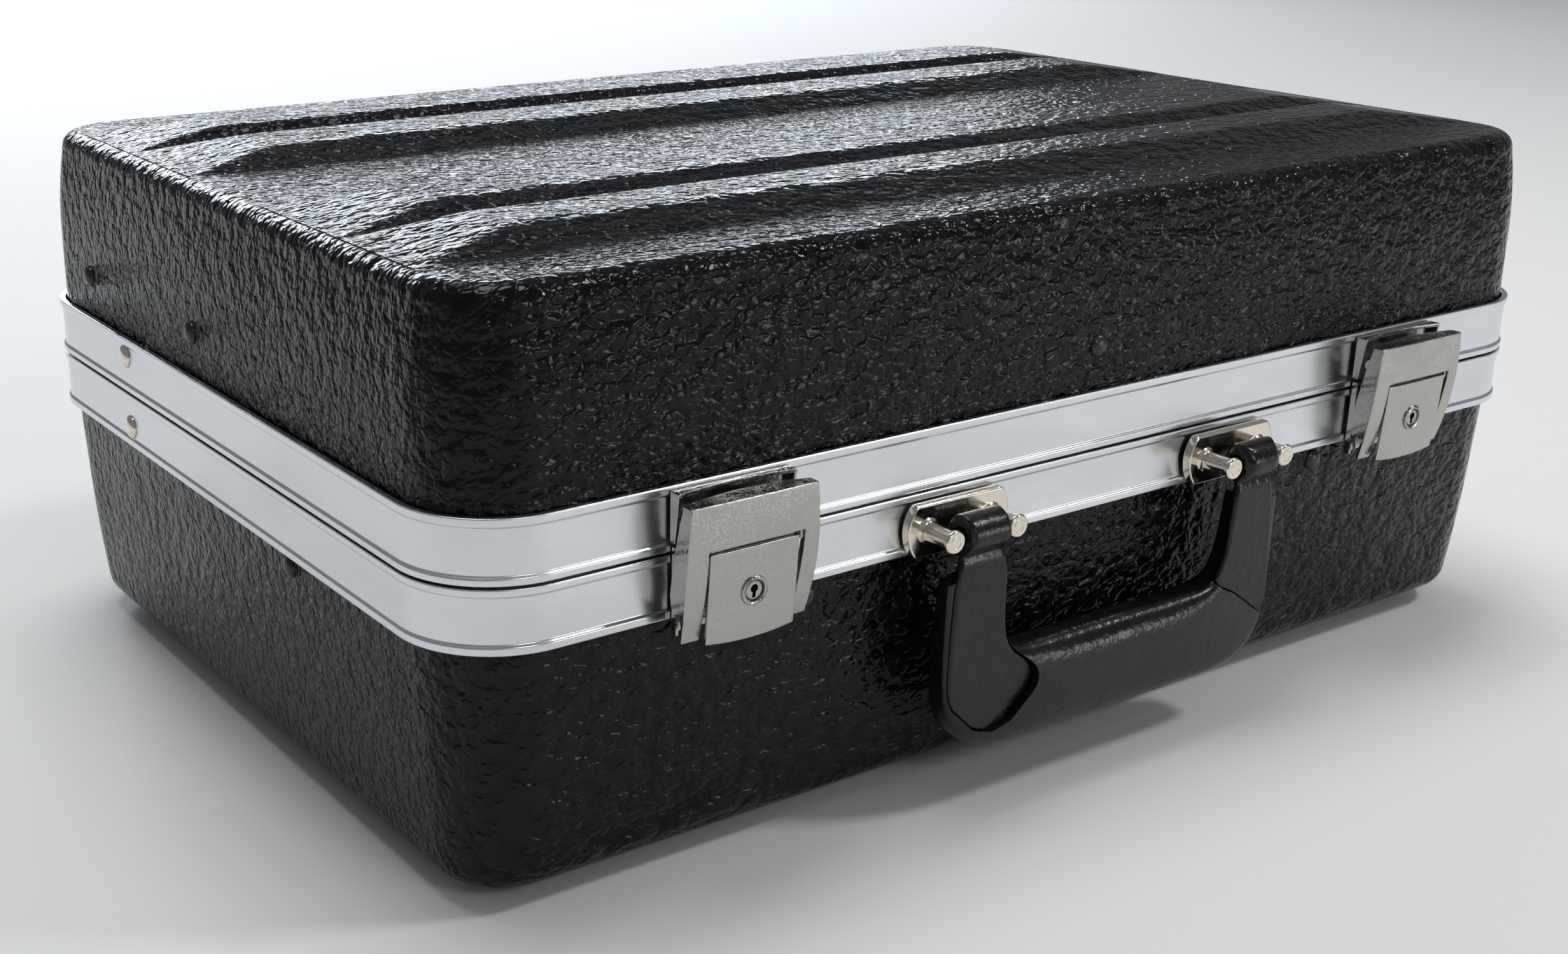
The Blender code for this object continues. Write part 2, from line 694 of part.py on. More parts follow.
def make_cover(side, hand):
    name = f"latch_{side}_cover"
    heights = cover_rows(16.6, -15.0, 8)
    work = bmesh.new()
    rows = []
    for height in heights:
        half = bowed_half(height)
        out = cover_out(height)
        back = wall_back(height)
        corners = ((-half, back), (-half, out - 0.8), (-half + 0.8, out), (half - 0.8, out),
                   (half, out - 0.8), (half, back))
        rows.append([work.verts.new((x * MM, -y * MM, height * MM)) for x, y in corners])
    foot = []
    for height in (-19.5, -23.8):
        half = bowed_half(height)
        out = cover_out(height)
        ring = ((-half + 0.8, out), (half - 0.8, out))
        foot.append([work.verts.new((x * MM, -y * MM, height * MM)) for x, y in ring])
    for upper, lower in zip(rows, rows[1:]):
        for left in range(5):
            work.faces.new((upper[left], lower[left], lower[left + 1], upper[left + 1]))
    work.faces.new(rows[0])
    work.faces.new((rows[-1][2], foot[0][0], foot[0][1], rows[-1][3]))
    work.faces.new((foot[0][0], foot[1][0], foot[1][1], foot[0][1]))
    bmesh.ops.recalc_face_normals(work, faces=work.faces)
    face = max(work.faces, key=lambda item: -item.calc_center_median().y)
    if face.normal.y > 0:
        bmesh.ops.reverse_faces(work, faces=work.faces)
    mesh = bpy.data.meshes.new(name)
    work.to_mesh(mesh)
    work.free()
    centre = (hand * LATCH_X, FRONT, SEAM)
    cover = place(bpy.data.objects.new(name, mesh), case, centre)
    wall = cover.modifiers.new("Wall", "SOLIDIFY")
    wall.thickness = COVER_T * MM
    wall.offset = -1.0
    wall.use_even_offset = True
    cover = finish(as_mesh(cover), name, CHROME)

    x = hand * LATCH_X
    lug_out = 8.0
    lugs = []
    for end in (-1, 1):
        lug_x = x + end * (FLAP_HALF + SLOT + 1.5)
        lugs.append(box(tools, (lug_x, FRONT - (lug_out + 12.0) / 2.0, SEAM + 2.6),
                        (1.2, 12.0 - lug_out, 4.6)))
        lugs.append(box(tools, (x + end * 11.0, FRONT - 9.6, SEAM + 9.5), (2.0, 5.6, 4.0)))
    hook = cylinder(tools, (x, FRONT - 6.8, SEAM + 9.5), 2.2, 2 * PLATE_HALF - 3.0, "X", 12)
    boolean(cover, lugs + [hook], "UNION")
    window_top = SEAM + SLIT_Z
    window_h = 40.0
    window = box(tools, (x, FRONT - 12.0, window_top - window_h / 2.0),
                 (2 * (FLAP_HALF + SLOT), 30.0, window_h))
    boolean(cover, [window], "DIFFERENCE")
    pivot = (x, FRONT - COVER_PIVOT[0], SEAM + COVER_PIVOT[1])
    hinge = (x, FRONT - FLAP_PIVOT[0], SEAM + FLAP_PIVOT[1])
    return drill(cover, [(pivot, 1.2 + RUN, 60.0, "X"), (hinge, 1.0 + RUN, 60.0, "X")])


def make_flap(side, hand):
    name = f"latch_{side}_flap"
    heights = cover_rows(FLAP_PIVOT[1] - 0.6, -25.4, 8)
    work = bmesh.new()
    rows = []
    for height in heights:
        out = flap_out(height)
        rows.append([work.verts.new((x * MM, -out * MM, height * MM))
                     for x in (-FLAP_HALF, FLAP_HALF)])
    for upper, lower in zip(rows, rows[1:]):
        work.faces.new((upper[0], lower[0], lower[1], upper[1]))
    mesh = bpy.data.meshes.new(name)
    work.to_mesh(mesh)
    work.free()
    x = hand * LATCH_X
    flap = place(bpy.data.objects.new(name, mesh), case, (x, FRONT, SEAM))
    wall = flap.modifiers.new("Wall", "SOLIDIFY")
    wall.thickness = FLAP_T * MM
    wall.offset = -1.0
    flap = finish(as_mesh(flap), name, CHROME)
    pivot = (x, FRONT - FLAP_PIVOT[0], SEAM + FLAP_PIVOT[1])
    knuckle = cylinder(tools, pivot, 1.8, 2 * (FLAP_HALF - GAP), "X", 12)
    bridge = box(tools, (x, FRONT - 11.2, SEAM + 1.2), (2 * (FLAP_HALF - GAP), 2.6, 1.6))
    trunnion = cylinder(tools, pivot, 1.0, 2 * (FLAP_HALF + SLOT + 2.6), "X", 12)
    ring = lock_cylinder(x, LOCK_R, 1.2, -0.2)
    boolean(flap, [knuckle, bridge, trunnion, ring], "UNION")
    return boolean(flap, [lock_cylinder(x, LOCK_R - 1.2 + GAP / 2.0, 12.0, 0.0)], "DIFFERENCE")


def lock_tilt():
    """Lean of the flap's face at the lock, in degrees."""
    slope = (flap_out(LOCK_Z + 1.0) - flap_out(LOCK_Z - 1.0)) / 2.0
    return math.degrees(math.atan(slope))


def lock_cylinder(x, radius, length, lift):
    """A cylinder square to the flap's face at the lock, its middle lifted off the face."""
    item = cylinder(tools, (x, FRONT - flap_out(LOCK_Z) - lift, SEAM + LOCK_Z), radius, length, "Y", 16)
    item.rotation_euler.x = math.radians(lock_tilt())
    return item


def make_lock(side, hand):
    x = hand * LATCH_X
    spot = (x, FRONT - flap_out(LOCK_Z), SEAM + LOCK_Z)
    radius = LOCK_R - 1.2 - GAP / 2.0
    profile = [(0.0, 0.2), (radius - 0.3, 0.2), (radius, -0.1), (radius, -4.6), (0.0, -4.6)]
    turn = (90.0 + lock_tilt(), 0.0, 0.0)
    name = f"latch_{side}_lock_plug"
    plug = finish(as_mesh(turned(name, CHROME, profile, spot, turn, 16)), name, CHROME)
    keyhole = lock_cylinder(x, 1.1, 3.0, 0.0)
    slot = box(tools, (x, spot[1], spot[2] - 1.3), (0.9, 3.0, 1.6))
    slot.rotation_euler.x = math.radians(lock_tilt())
    return boolean(plug, [keyhole, slot], "DIFFERENCE")


def channel_outline(half, web, depth):
    """A U section seen from above: web against the frame, flanges forward."""
    return [(-half, -GAP), (-half, -GAP - depth), (-half + web, -GAP - depth), (-half + web, -GAP - web),
            (half - web, -GAP - web), (half - web, -GAP - depth), (half, -GAP - depth), (half, -GAP)]


def make_latch_plates(side, hand):
    x = hand * LATCH_X
    base_top = 2.2
    base_low = -22.7
    middle = (x, FRONT, SEAM + (base_top + base_low) / 2.0)
    outline = channel_outline(PLATE_HALF, PLATE_T, 2.2)
    plate = flat(case, outline, base_top - base_low, middle, (0.0, 0.0, 0.0))
    finish(plate, f"latch_{side}_base_plate", CHROME)
    out, height = COVER_PIVOT
    ears = []
    for end in (-1, 1):
        reach = out + 2.4
        spot = (x + end * (PLATE_HALF - 2.6), FRONT - (reach + 1.0) / 2.0, SEAM + height)
        ears.append(box(tools, spot, (1.2, reach - 1.0, 5.0)))
    boolean(plate, ears, "UNION")
    pivot = (x, FRONT - out, SEAM + height)
    drill(plate, [(pivot, 1.2 + RUN, 60.0, "X")])

    catch_low = 3.5
    catch_top = 17.2
    middle = (x, FRONT, SEAM + (catch_top + catch_low) / 2.0)
    outline = channel_outline(PLATE_HALF, PLATE_T, 3.4)
    catch = flat(case, outline, catch_top - catch_low, middle, (0.0, 0.0, 0.0))
    finish(catch, f"latch_{side}_catch_plate", CHROME)
    bow_r = 200.0
    spread = math.degrees(math.asin(PLATE_HALF / bow_r))
    bow = arc((0.0, bow_r - 5.7), bow_r, 270.0 - spread, 270.0 + spread, 6)
    roof = [(PLATE_HALF, -GAP), (-PLATE_HALF, -GAP)] + bow
    lip = flat(tools, roof, 1.3, (x, FRONT, SEAM + catch_top + 0.35), (0.0, 0.0, 0.0))
    boolean(catch, [lip], "UNION")

    end = COVER_HALF + 2.0
    profile = [(0.0, end + 0.6), (1.2, end + 0.6), (1.2, -end - 0.6), (0.0, -end - 0.6)]
    turned(f"latch_{side}_cover_pin", STEEL, profile, pivot, (0.0, 90.0, 0.0))


# ---------------------------------------------------------------- lid stays
def stay_ends():
    """Pivots (y from the case's middle, z from the seam): base, lid, elbow.

    The elbow makes a parallelogram with the hinge axis and the two fixed pivots, so the
    lower link turns exactly with the lid and the upper one exactly against it.
    """
    hinge = Vector((DEPTH / 2.0 + HINGE_OUT, 0.0))
    base = Vector((STAY_Y, -STAY_Z))
    lid = Vector((STAY_Y, STAY_Z))
    return base, lid, base + lid - hinge


def make_link(name, start, end, x, holes):
    """A flat link with round ends, in a plane of constant X; points are (y, z)."""
    along = end - start
    turn = math.degrees(math.atan2(along.y, along.x))
    outline = arc(start, STAY_W / 2.0, turn + 90.0, turn + 270.0, 8)
    outline += arc(end, STAY_W / 2.0, turn - 90.0, turn + 90.0, 8)
    return finish(flat(case, outline, STAY_T, (x, SHIFT, SEAM), (90.0, 0.0, 90.0), holes), name, NICKEL)


def make_stay(side, hand):
    base, lid, elbow = stay_ends()
    lower_x = side_x(hand, STAY_IN + STAY_T / 2.0)
    upper_x = side_x(hand, STAY_IN + STAY_T * 1.5 + 0.5)
    hole = STAY_PIN_R + RUN
    lower = make_link(f"stay_{side}_lower", base, elbow, lower_x, [(base.x, base.y, hole)])
    spot = (side_x(hand, STAY_IN + STAY_T * 1.5 + 0.8), SHIFT + elbow.x, SEAM + elbow.y)
    pin = cylinder(tools, spot, STAY_PIN_R, STAY_T * 2.0 + 1.6, "X", 12)
    boolean(lower, [pin], "UNION")
    upper_holes = [(elbow.x, elbow.y, STAY_PIN_R + 0.4), (lid.x, lid.y, hole)]
    make_link(f"stay_{side}_upper", elbow, lid, upper_x, upper_holes)
    for part, pivot, inner in (("base", base, STAY_IN), ("lid", lid, STAY_IN + STAY_T + 0.5)):
        face = side_x(hand, BEAD_OUT)
        at = (face, SHIFT + pivot.x, SEAM + pivot.y)
        seat = inner - BEAD_OUT - GAP
        end = inner - BEAD_OUT + STAY_T + GAP
        profile = [(r, h + GAP) for r, h in dome(3.6, 1.5)]
        collar = STAY_COLLAR_IN - BEAD_OUT
        profile += [(STAY_SHANK_R, GAP), (STAY_SHANK_R, -collar), (STAY_COLLAR_R, -collar),
                    (STAY_COLLAR_R, -seat), (STAY_PIN_R, -seat), (STAY_PIN_R, -end),
                    (2.6, -end), (2.6, -end - 0.8), (0.0, -end - 0.8)]
        turned(f"stay_{side}_{part}_rivet", NICKEL, profile, at, (0.0, 90.0 * hand, 0.0))


# ---------------------------------------------------------------- joints
def hang(name, location, pieces, carrier=None):
    """Put an empty on a joint's axis, carry the pieces on it, and return it."""
    pivot = place(bpy.data.objects.new(name, None), case, location)
    pivot.empty_display_size = 0.02
    if carrier:
        pivot.parent = carrier
        bpy.context.view_layer.update()
        pivot.matrix_parent_inverse = carrier.matrix_world.inverted()
    bpy.context.view_layer.update()
    for piece in pieces:
        child = bpy.data.objects[piece]
        child.parent = pivot
        child.matrix_parent_inverse = pivot.matrix_world.inverted()
    return pivot


def hang_everything():
    base, lid, _ = stay_ends()
    lid_pieces = ["lid_shell", "lid_frame"]
    lid_pieces += [rivet[0] for rivet in SHELL_RIVETS if rivet[2] > 0]
    handle_pieces = ["handle_grip"]
    for side in ("left", "right"):
        lid_pieces += [f"hinge_{side}_leaf_lid", f"hinge_{side}_lid_rivet_inner",
                       f"hinge_{side}_lid_rivet_outer", f"latch_{side}_catch_plate",
                       f"stay_{side}_lid_rivet"]
        handle_pieces += [f"handle_arm_{side}"]
    lid_pivot = hang("lid_pivot", (0.0, BACK + HINGE_OUT, SEAM), lid_pieces)
    hang("handle_pivot", (0.0, FRONT - AXLE_OUT, SEAM - AXLE_DROP), handle_pieces)
    for side, hand in (("left", -1), ("right", 1)):
        x = hand * LATCH_X
        out, height = COVER_PIVOT
        cover_pivot = hang(f"latch_{side}_cover_pivot", (x, FRONT - out, SEAM + height),
                           [f"latch_{side}_cover"])
        out, height = FLAP_PIVOT
        flap_pivot = hang(f"latch_{side}_flap_pivot", (x, FRONT - out, SEAM + height),
                          [f"latch_{side}_flap"], cover_pivot)
        hang(f"latch_{side}_lock_pivot", (x, FRONT - flap_out(LOCK_Z), SEAM + LOCK_Z),
             [f"latch_{side}_lock_plug"], flap_pivot)
        inner_x = side_x(hand, STAY_IN)
        hang(f"stay_{side}_lower_pivot", (inner_x, SHIFT + base.x, SEAM + base.y),
             [f"stay_{side}_lower"])
        hang(f"stay_{side}_upper_pivot", (inner_x, SHIFT + lid.x, SEAM + lid.y),
             [f"stay_{side}_upper"], lid_pivot)


# ---------------------------------------------------------------- assembly
make_shell("base_shell", -1, BASE_FLOOR, BASE_DRAFT, BASE_FILLET)
make_shell("lid_shell", 1, LID_TOP, LID_DRAFT, LID_FILLET)
make_frame("base_frame", -1)
make_frame("lid_frame", 1)
make_shell_rivets()
make_hinge_rivets()
make_grip()
for side, hand in (("left", -1), ("right", 1)):
    make_hinge(side, hand)
    make_bracket(side, hand)
    make_arm(side, hand)
    make_cover(side, hand)
    make_flap(side, hand)
    make_lock(side, hand)
    make_latch_plates(side, hand)
    make_stay(side, hand)
hang_everything()
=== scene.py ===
"""Looks of the attache case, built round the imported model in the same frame.

Arguments of the builders are millimetres: x along the front, "out" outwards from the
frame's front face, and height from the parting line. Meshes are in metres, in the shared
frame, with each object's origin at the frame's origin.
"""
import json
import math

import bmesh
import bpy
from mathutils import Matrix, Vector


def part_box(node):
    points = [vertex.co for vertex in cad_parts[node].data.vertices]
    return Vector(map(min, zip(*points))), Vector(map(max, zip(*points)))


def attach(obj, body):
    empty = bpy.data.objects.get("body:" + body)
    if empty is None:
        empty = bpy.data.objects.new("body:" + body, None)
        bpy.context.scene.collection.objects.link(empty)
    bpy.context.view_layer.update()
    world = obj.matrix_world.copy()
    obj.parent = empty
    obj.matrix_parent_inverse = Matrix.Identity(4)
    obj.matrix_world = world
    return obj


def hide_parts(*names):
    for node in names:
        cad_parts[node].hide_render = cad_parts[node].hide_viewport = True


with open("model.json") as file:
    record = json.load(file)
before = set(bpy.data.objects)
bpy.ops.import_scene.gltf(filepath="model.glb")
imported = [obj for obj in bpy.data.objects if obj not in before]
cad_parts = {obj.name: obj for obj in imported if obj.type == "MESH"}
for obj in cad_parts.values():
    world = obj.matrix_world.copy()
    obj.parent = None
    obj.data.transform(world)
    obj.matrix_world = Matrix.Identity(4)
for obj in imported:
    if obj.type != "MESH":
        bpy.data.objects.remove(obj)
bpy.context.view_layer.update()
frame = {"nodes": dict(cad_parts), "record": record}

MM = 0.001
SEAM_GAP = 0.4  # from the parting line to the edge of either frame
low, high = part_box("base_frame")
HALF_X = high.x / MM
HALF_Y = (high.y - low.y) / 2.0 / MM
MIDDLE_Y = (high.y + low.y) / 2.0 / MM
FRONT = low.y / MM
BACK = high.y / MM
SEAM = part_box("lid_frame")[0].z / MM - SEAM_GAP

SIDES = (("left", -1), ("right", 1))
BASE, LID = -1, 1  # which way a half of the case goes from the parting line
BODY = {BASE: "base", LID: "lid"}
DEPTH = {BASE: 97.0, LID: 78.6}
DRAFT = {BASE: 4.6, LID: 1.0}  # lean of a wall over the half's depth
CROWN = {BASE: 1.4, LID: 2.6}  # extra lean towards the flat
FILLET = {BASE: 9.0, LID: 6.0}
CORNER_R = 30.5
FRAME_HIGH = 19.3
SHELL_INSET = 2.5  # from the frames' outline to the walls at the parting line
SHELL_EDGE = 2.6  # height at which the walls begin, inside the frame
WALL = 3.0

LEFTWARD = (-1.0, 0.0, 0.0)
RIGHTWARD = (1.0, 0.0, 0.0)
FORWARD = (0.0, -1.0, 0.0)
REARWARD = (0.0, 1.0, 0.0)

scene = bpy.context.scene


# ---------------------------------------------------------------- materials
class Look:
    """A Principled material whose nodes are added one call at a time."""

    def __init__(self, name, colour, roughness, metallic=0.0, specular=0.5):
        self.material = bpy.data.materials.new(name)
        self.material.use_nodes = True
        self.tree = self.material.node_tree
        self.shader = self.tree.nodes["Principled BSDF"]
        self.shader.inputs["Base Color"].default_value = (*colour, 1.0)
        self.shader.inputs["Roughness"].default_value = roughness
        self.shader.inputs["Metallic"].default_value = metallic
        self.shader.inputs["Specular IOR Level"].default_value = specular
        self.place = self.tree.nodes.new("ShaderNodeTexCoord").outputs["Object"]

    def node(self, kind, links=None, **values):
        """Add a node; links maps its inputs to sockets, values set inputs or properties."""
        made = self.tree.nodes.new("ShaderNode" + kind)
        for key, value in values.items():
            name = key.replace("_", " ").title()
            if name in made.inputs:
                made.inputs[name].default_value = value
            else:
                setattr(made, key, value)
        for key, socket in (links or {}).items():
            self.tree.links.new(socket, made.inputs[key])
        return made

    def scaled(self, x, y, z, source=None):
        """Stretched coordinates: the object's own, or those of source."""
        mapping = self.node("Mapping", {"Vector": source or self.place})
        mapping.inputs["Scale"].default_value = (x, y, z)
        return mapping.outputs["Vector"]

    def noise(self, vector, scale, detail=2.0, roughness=0.5, distortion=0.0):
        """Noise from 0 to 1, its scale in cells per metre of the vector."""
        made = self.node("TexNoise", {"Vector": vector}, scale=scale, detail=detail,
                         roughness=roughness, distortion=distortion)
        return made.outputs["Fac"]

    def ramp(self, value, low_in, high_in, low_out=0.0, high_out=1.0, kind="LINEAR"):
        """The value taken from one range to another."""
        made = self.node("MapRange", {"Value": value})
        made.interpolation_type = kind
        for key, number in (("From Min", low_in), ("From Max", high_in),
                            ("To Min", low_out), ("To Max", high_out)):
            made.inputs[key].default_value = number
        return made.outputs["Result"]

    def math(self, operation, first, second):
        """One operation on two values, each a number or a socket."""
        made = self.tree.nodes.new("ShaderNodeMath")
        made.operation = operation
        for index, value in enumerate((first, second)):
            if isinstance(value, (int, float)):
                made.inputs[index].default_value = value
            else:
                self.tree.links.new(value, made.inputs[index])
        return made.outputs[0]

    def bump(self, height, distance, after=None):
        """Relief with distance in metres, on top of the normal that comes after another."""
        made = self.node("Bump", {"Height": height}, strength=1.0, distance=distance)
        if after:
            self.tree.links.new(after, made.inputs["Normal"])
        return made.outputs["Normal"]

    def mix(self, factor, first, second):
        """A colour between two others."""
        made = self.tree.nodes.new("ShaderNodeMix")
        made.data_type = "RGBA"
        self.tree.links.new(factor, made.inputs["Factor"])
        made.inputs["A"].default_value = (*first, 1.0)
        made.inputs["B"].default_value = (*second, 1.0)
        return made.outputs["Result"]

    def set(self, name, socket):
        """Link a socket to an input of the shader."""
        self.tree.links.new(socket, self.shader.inputs[name])


def tinted(colour, factor, most=1.0):
    """The colour made darker or lighter, no channel above most."""
    return tuple(min(factor * channel, most) for channel in colour)


def leather_plastic(name, colour, cell, depth, roughness, specular, stretch=(1.0, 1.0, 1.0)):
    """Black plastic with an embossed grain: cell is the grain's size, depth its relief, in mm."""
    look = Look(name, colour, roughness[0], specular=specular)
    # Pebbles and folds on coordinates that wander, so that the cells have no straight sides.
    wander = look.node("TexNoise", {"Vector": look.place}, scale=0.5 / (cell * MM), detail=1.5)
    shifted = look.tree.nodes.new("ShaderNodeVectorMath")
    shifted.operation = "MULTIPLY_ADD"
    look.tree.links.new(wander.outputs["Color"], shifted.inputs[0])
    shifted.inputs[1].default_value = (0.55 * cell * MM,) * 3
    look.tree.links.new(look.place, shifted.inputs[2])
    warped = look.scaled(*stretch, shifted.outputs[0])
    cells = look.node("TexVoronoi", {"Vector": warped}, scale=1.0 / (cell * MM),
                      feature="DISTANCE_TO_EDGE")
    pebble = look.ramp(cells.outputs["Distance"], -0.05, 0.3, kind="SMOOTHSTEP")
    crease = look.noise(warped, 0.62 / (cell * MM), 1.0, 0.5)
    fold = look.ramp(crease, 0.25, 0.72, kind="SMOOTHSTEP")
    fine = look.noise(look.place, 2.2 / (cell * MM), 2.0, 0.5)
    broad = look.noise(look.place, 16.0, 2.0, 0.5)
    pebble_part = look.math("MULTIPLY", pebble, 0.38)
    fold_part = look.math("MULTIPLY", fold, 1.3)
    height = look.math("ADD", pebble_part, fold_part)
    # Broad unevenness first, then the grain, then the fine texture on it.
    normal = look.bump(broad, 1.5 * MM)
    normal = look.bump(height, depth * MM, after=normal)
    normal = look.bump(fine, 0.18 * depth * MM, after=normal)
    look.set("Normal", normal)
    rubbed = look.noise(look.place, 30.0, 4.0, 0.6, 0.5)
    look.set("Roughness", look.ramp(rubbed, 0.35, 0.7, roughness[0], roughness[1]))
    # Painted shade and light: the grain's cracks are coloured darker and its raised tops lighter.
    lit_tops_shaded_cracks = look.ramp(height, 0.2, 1.2)
    look.set("Base Color", look.mix(lit_tops_shaded_cracks, tinted(colour, 0.3), tinted(colour, 1.4)))
    return look.material


def satin_metal(name, colour, roughness, line_depth):
    """Extruded metal: fine lines along the frame, faint marks and rubbed places."""
    look = Look(name, colour, roughness[0], 1.0)
    lines = look.noise(look.scaled(5.0, 5.0, 2600.0), 1.0, 3.0, 0.6)
    worn = look.noise(look.scaled(16.0, 16.0, 50.0), 1.0, 5.0, 0.62, 0.3)
    dents = look.noise(look.place, 22.0, 2.0, 0.5)
    normal = look.bump(dents, 0.35 * MM)
    normal = look.bump(lines, line_depth * MM, after=normal)
    look.set("Normal", normal)
    lines_part = look.math("MULTIPLY", lines, 0.15)
    worn_part = look.math("MULTIPLY", worn, 0.85)
    shade = look.math("ADD", lines_part, worn_part)
    look.set("Roughness", look.ramp(shade, 0.35, 0.65, roughness[0], roughness[1]))
    clean = look.ramp(shade, 0.3, 0.65)
    look.set("Base Color", look.mix(clean, tinted(colour, 0.88), colour))
    return look.material


def plated_metal(name, colour, roughness, fleck, fleck_depth):
    """Nickel or chrome plate with small pits and flecks, the flecks also painted lighter as
    glints; fleck is their size in mm.
    """
    look = Look(name, colour, roughness[0], 1.0)
    flecks = look.noise(look.place, 1.0 / (fleck * MM), 4.0, 0.7)
    patches = look.noise(look.place, 95.0, 3.0, 0.6, 0.8)
    strength = look.ramp(patches, 0.4, 0.6, 0.3, 1.0)
    pits_and_glints = look.math("MULTIPLY", look.ramp(flecks, 0.5, 0.72), strength)
    waves = look.noise(look.place, 60.0, 2.0, 0.5)
    normal = look.bump(waves, 0.12 * MM)
    normal = look.bump(pits_and_glints, fleck_depth * MM, after=normal)
    look.set("Normal", normal)
    look.set("Roughness", look.ramp(patches, 0.3, 0.7, roughness[0], roughness[1]))
    # Painted glints: the flecks are coloured lighter than the plate, on top of their bump.
    look.set("Base Color", look.mix(pits_and_glints, colour, tinted(colour, 1.35, 0.95)))
    return look.material


SHELL = leather_plastic("black_shell", (0.0040, 0.0040, 0.0046), cell=2.5, depth=0.50,
                        roughness=(0.12, 0.20), specular=0.18, stretch=(0.60, 1.0, 0.90))
ALUMINIUM = satin_metal("aluminium", (0.78, 0.80, 0.83), roughness=(0.20, 0.30),
                        line_depth=0.0012)
CHROME = plated_metal("latch_chrome", (0.43, 0.425, 0.40), roughness=(0.08, 0.12),
                      fleck=0.55, fleck_depth=0.04)
NICKEL = plated_metal("nickel", (0.78, 0.72, 0.62), roughness=(0.08, 0.16),
                      fleck=0.9, fleck_depth=0.01)
GRIP = leather_plastic("handle_plastic", (0.0035, 0.0035, 0.004), cell=1.5, depth=0.05,
                       roughness=(0.20, 0.30), specular=0.42)
BLACK_RIVET = leather_plastic("black_rivet", (0.010, 0.010, 0.011), cell=0.8, depth=0.02,
                              roughness=(0.25, 0.36), specular=0.5)
STEEL = satin_metal("steel", (0.52, 0.52, 0.52), roughness=(0.26, 0.38), line_depth=0.002)
# Painted shade: a near-black material for the inside of the keyhole and slot.
KEYHOLE_SHADE = leather_plastic("keyhole_painted_shade", (0.004, 0.004, 0.004), cell=0.8, depth=0.02,
                       roughness=(0.6, 0.75), specular=0.2)


# ---------------------------------------------------------------- mesh helpers
def spot(x, out, height):
    """A point by its distance in front of the case's front face, in metres."""
    return Vector((x, FRONT - out, SEAM + height)) * MM


def around(x, y, height):
    """A point by its distance behind the case's middle, in metres."""
    return Vector((x, MIDDLE_Y + y, SEAM + height)) * MM


def added(name, data):
    """A new object of the scene."""
    item = bpy.data.objects.new(name, data)
    scene.collection.objects.link(item)
    return item


def make(name, verts, faces):
    """An object with equal points merged and its faces turned outwards."""
    mesh = bpy.data.meshes.new(name)
    mesh.from_pydata([tuple(v) for v in verts], [], faces)
    mesh.validate()
    work = bmesh.new()
    work.from_mesh(mesh)
    bmesh.ops.remove_doubles(work, verts=work.verts, dist=1e-7)
    bmesh.ops.recalc_face_normals(work, faces=work.faces)
    work.to_mesh(mesh)
    work.free()
    return added(name, mesh)


def joined(name, items):
    """One object from several, with their modifiers applied."""
    bpy.context.view_layer.update()
    graph = bpy.context.evaluated_depsgraph_get()
    work = bmesh.new()
    for item in items:
        mesh = bpy.data.meshes.new_from_object(item.evaluated_get(graph))
        mesh.transform(item.matrix_world)
        work.from_mesh(mesh)
        bpy.data.meshes.remove(mesh)
    mesh = bpy.data.meshes.new(name)
    work.to_mesh(mesh)
    work.free()
    for item in items:
        bpy.data.objects.remove(item)
    return added(name, mesh)


def softened(item, width, segments=2):
    """Round the edges that are sharper than 32 degrees."""
    bevel = item.modifiers.new("Edges", "BEVEL")
    bevel.width = width * MM
    bevel.segments = segments
    bevel.limit_method = "ANGLE"
    bevel.angle_limit = math.radians(32.0)
    bevel.miter_outer = "MITER_ARC"
    return item


def walled(item, thickness):
    """Give a skin a thickness, behind its faces."""
    wall = item.modifiers.new("Wall", "SOLIDIFY")
    wall.thickness = thickness * MM
    wall.offset = -1.0
    wall.use_even_offset = True
    return item


def facing_forward(sheet, face):
    """Turn a sheet's faces so that the given one looks forward."""
    if face.normal.y > 0:
        sheet.data.flip_normals()
    return sheet


def cut(item, tool):
    """Cut item by tool at once and drop the tool."""
    step = item.modifiers.new("Cut", "BOOLEAN")
    step.operation = "DIFFERENCE"
    step.object = tool
    bpy.context.view_layer.update()
    graph = bpy.context.evaluated_depsgraph_get()
    mesh = bpy.data.meshes.new_from_object(item.evaluated_get(graph))
    item.modifiers.clear()
    item.data = mesh
    bpy.data.objects.remove(tool)


def publish(item, body, look, slot, *replaced, sharp=38.0):
    """Give a piece its material and body, and hide the CAD nodes that it replaces; slot is not
    used.
    """
    item.data.materials.clear()
    item.data.materials.append(look)
    for face in item.data.polygons:
        face.material_index = 0
    item.data.shade_smooth()
    item.data.set_sharp_from_angle(angle=math.radians(sharp))
    if look is not SHELL:
        item.modifiers.new("Normals", "WEIGHTED_NORMAL").keep_sharp = True
    if replaced:
        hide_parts(*replaced)
    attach(item, body)


def arc(centre, radius, start, end, steps):
    """Points on an arc between two angles in degrees."""
    points = []
    for index in range(steps + 1):
        angle = math.radians(start + (end - start) * index / steps)
        points.append((centre[0] + radius * math.cos(angle),
                       centre[1] + radius * math.sin(angle)))
    return points


def dome(radius, height):
    """A turning profile from the top of a rounded head down to its rim."""
    steps = 8
    angles = [math.pi / 2 * index / steps for index in range(steps + 1)]
    return [(radius * math.sin(angle), height * math.cos(angle)) for angle in angles]


def drum(radius, top, bottom):
    """A turning profile of a plain cylinder."""
    return [(0.0, top), (radius, top), (radius, bottom), (0.0, bottom)]


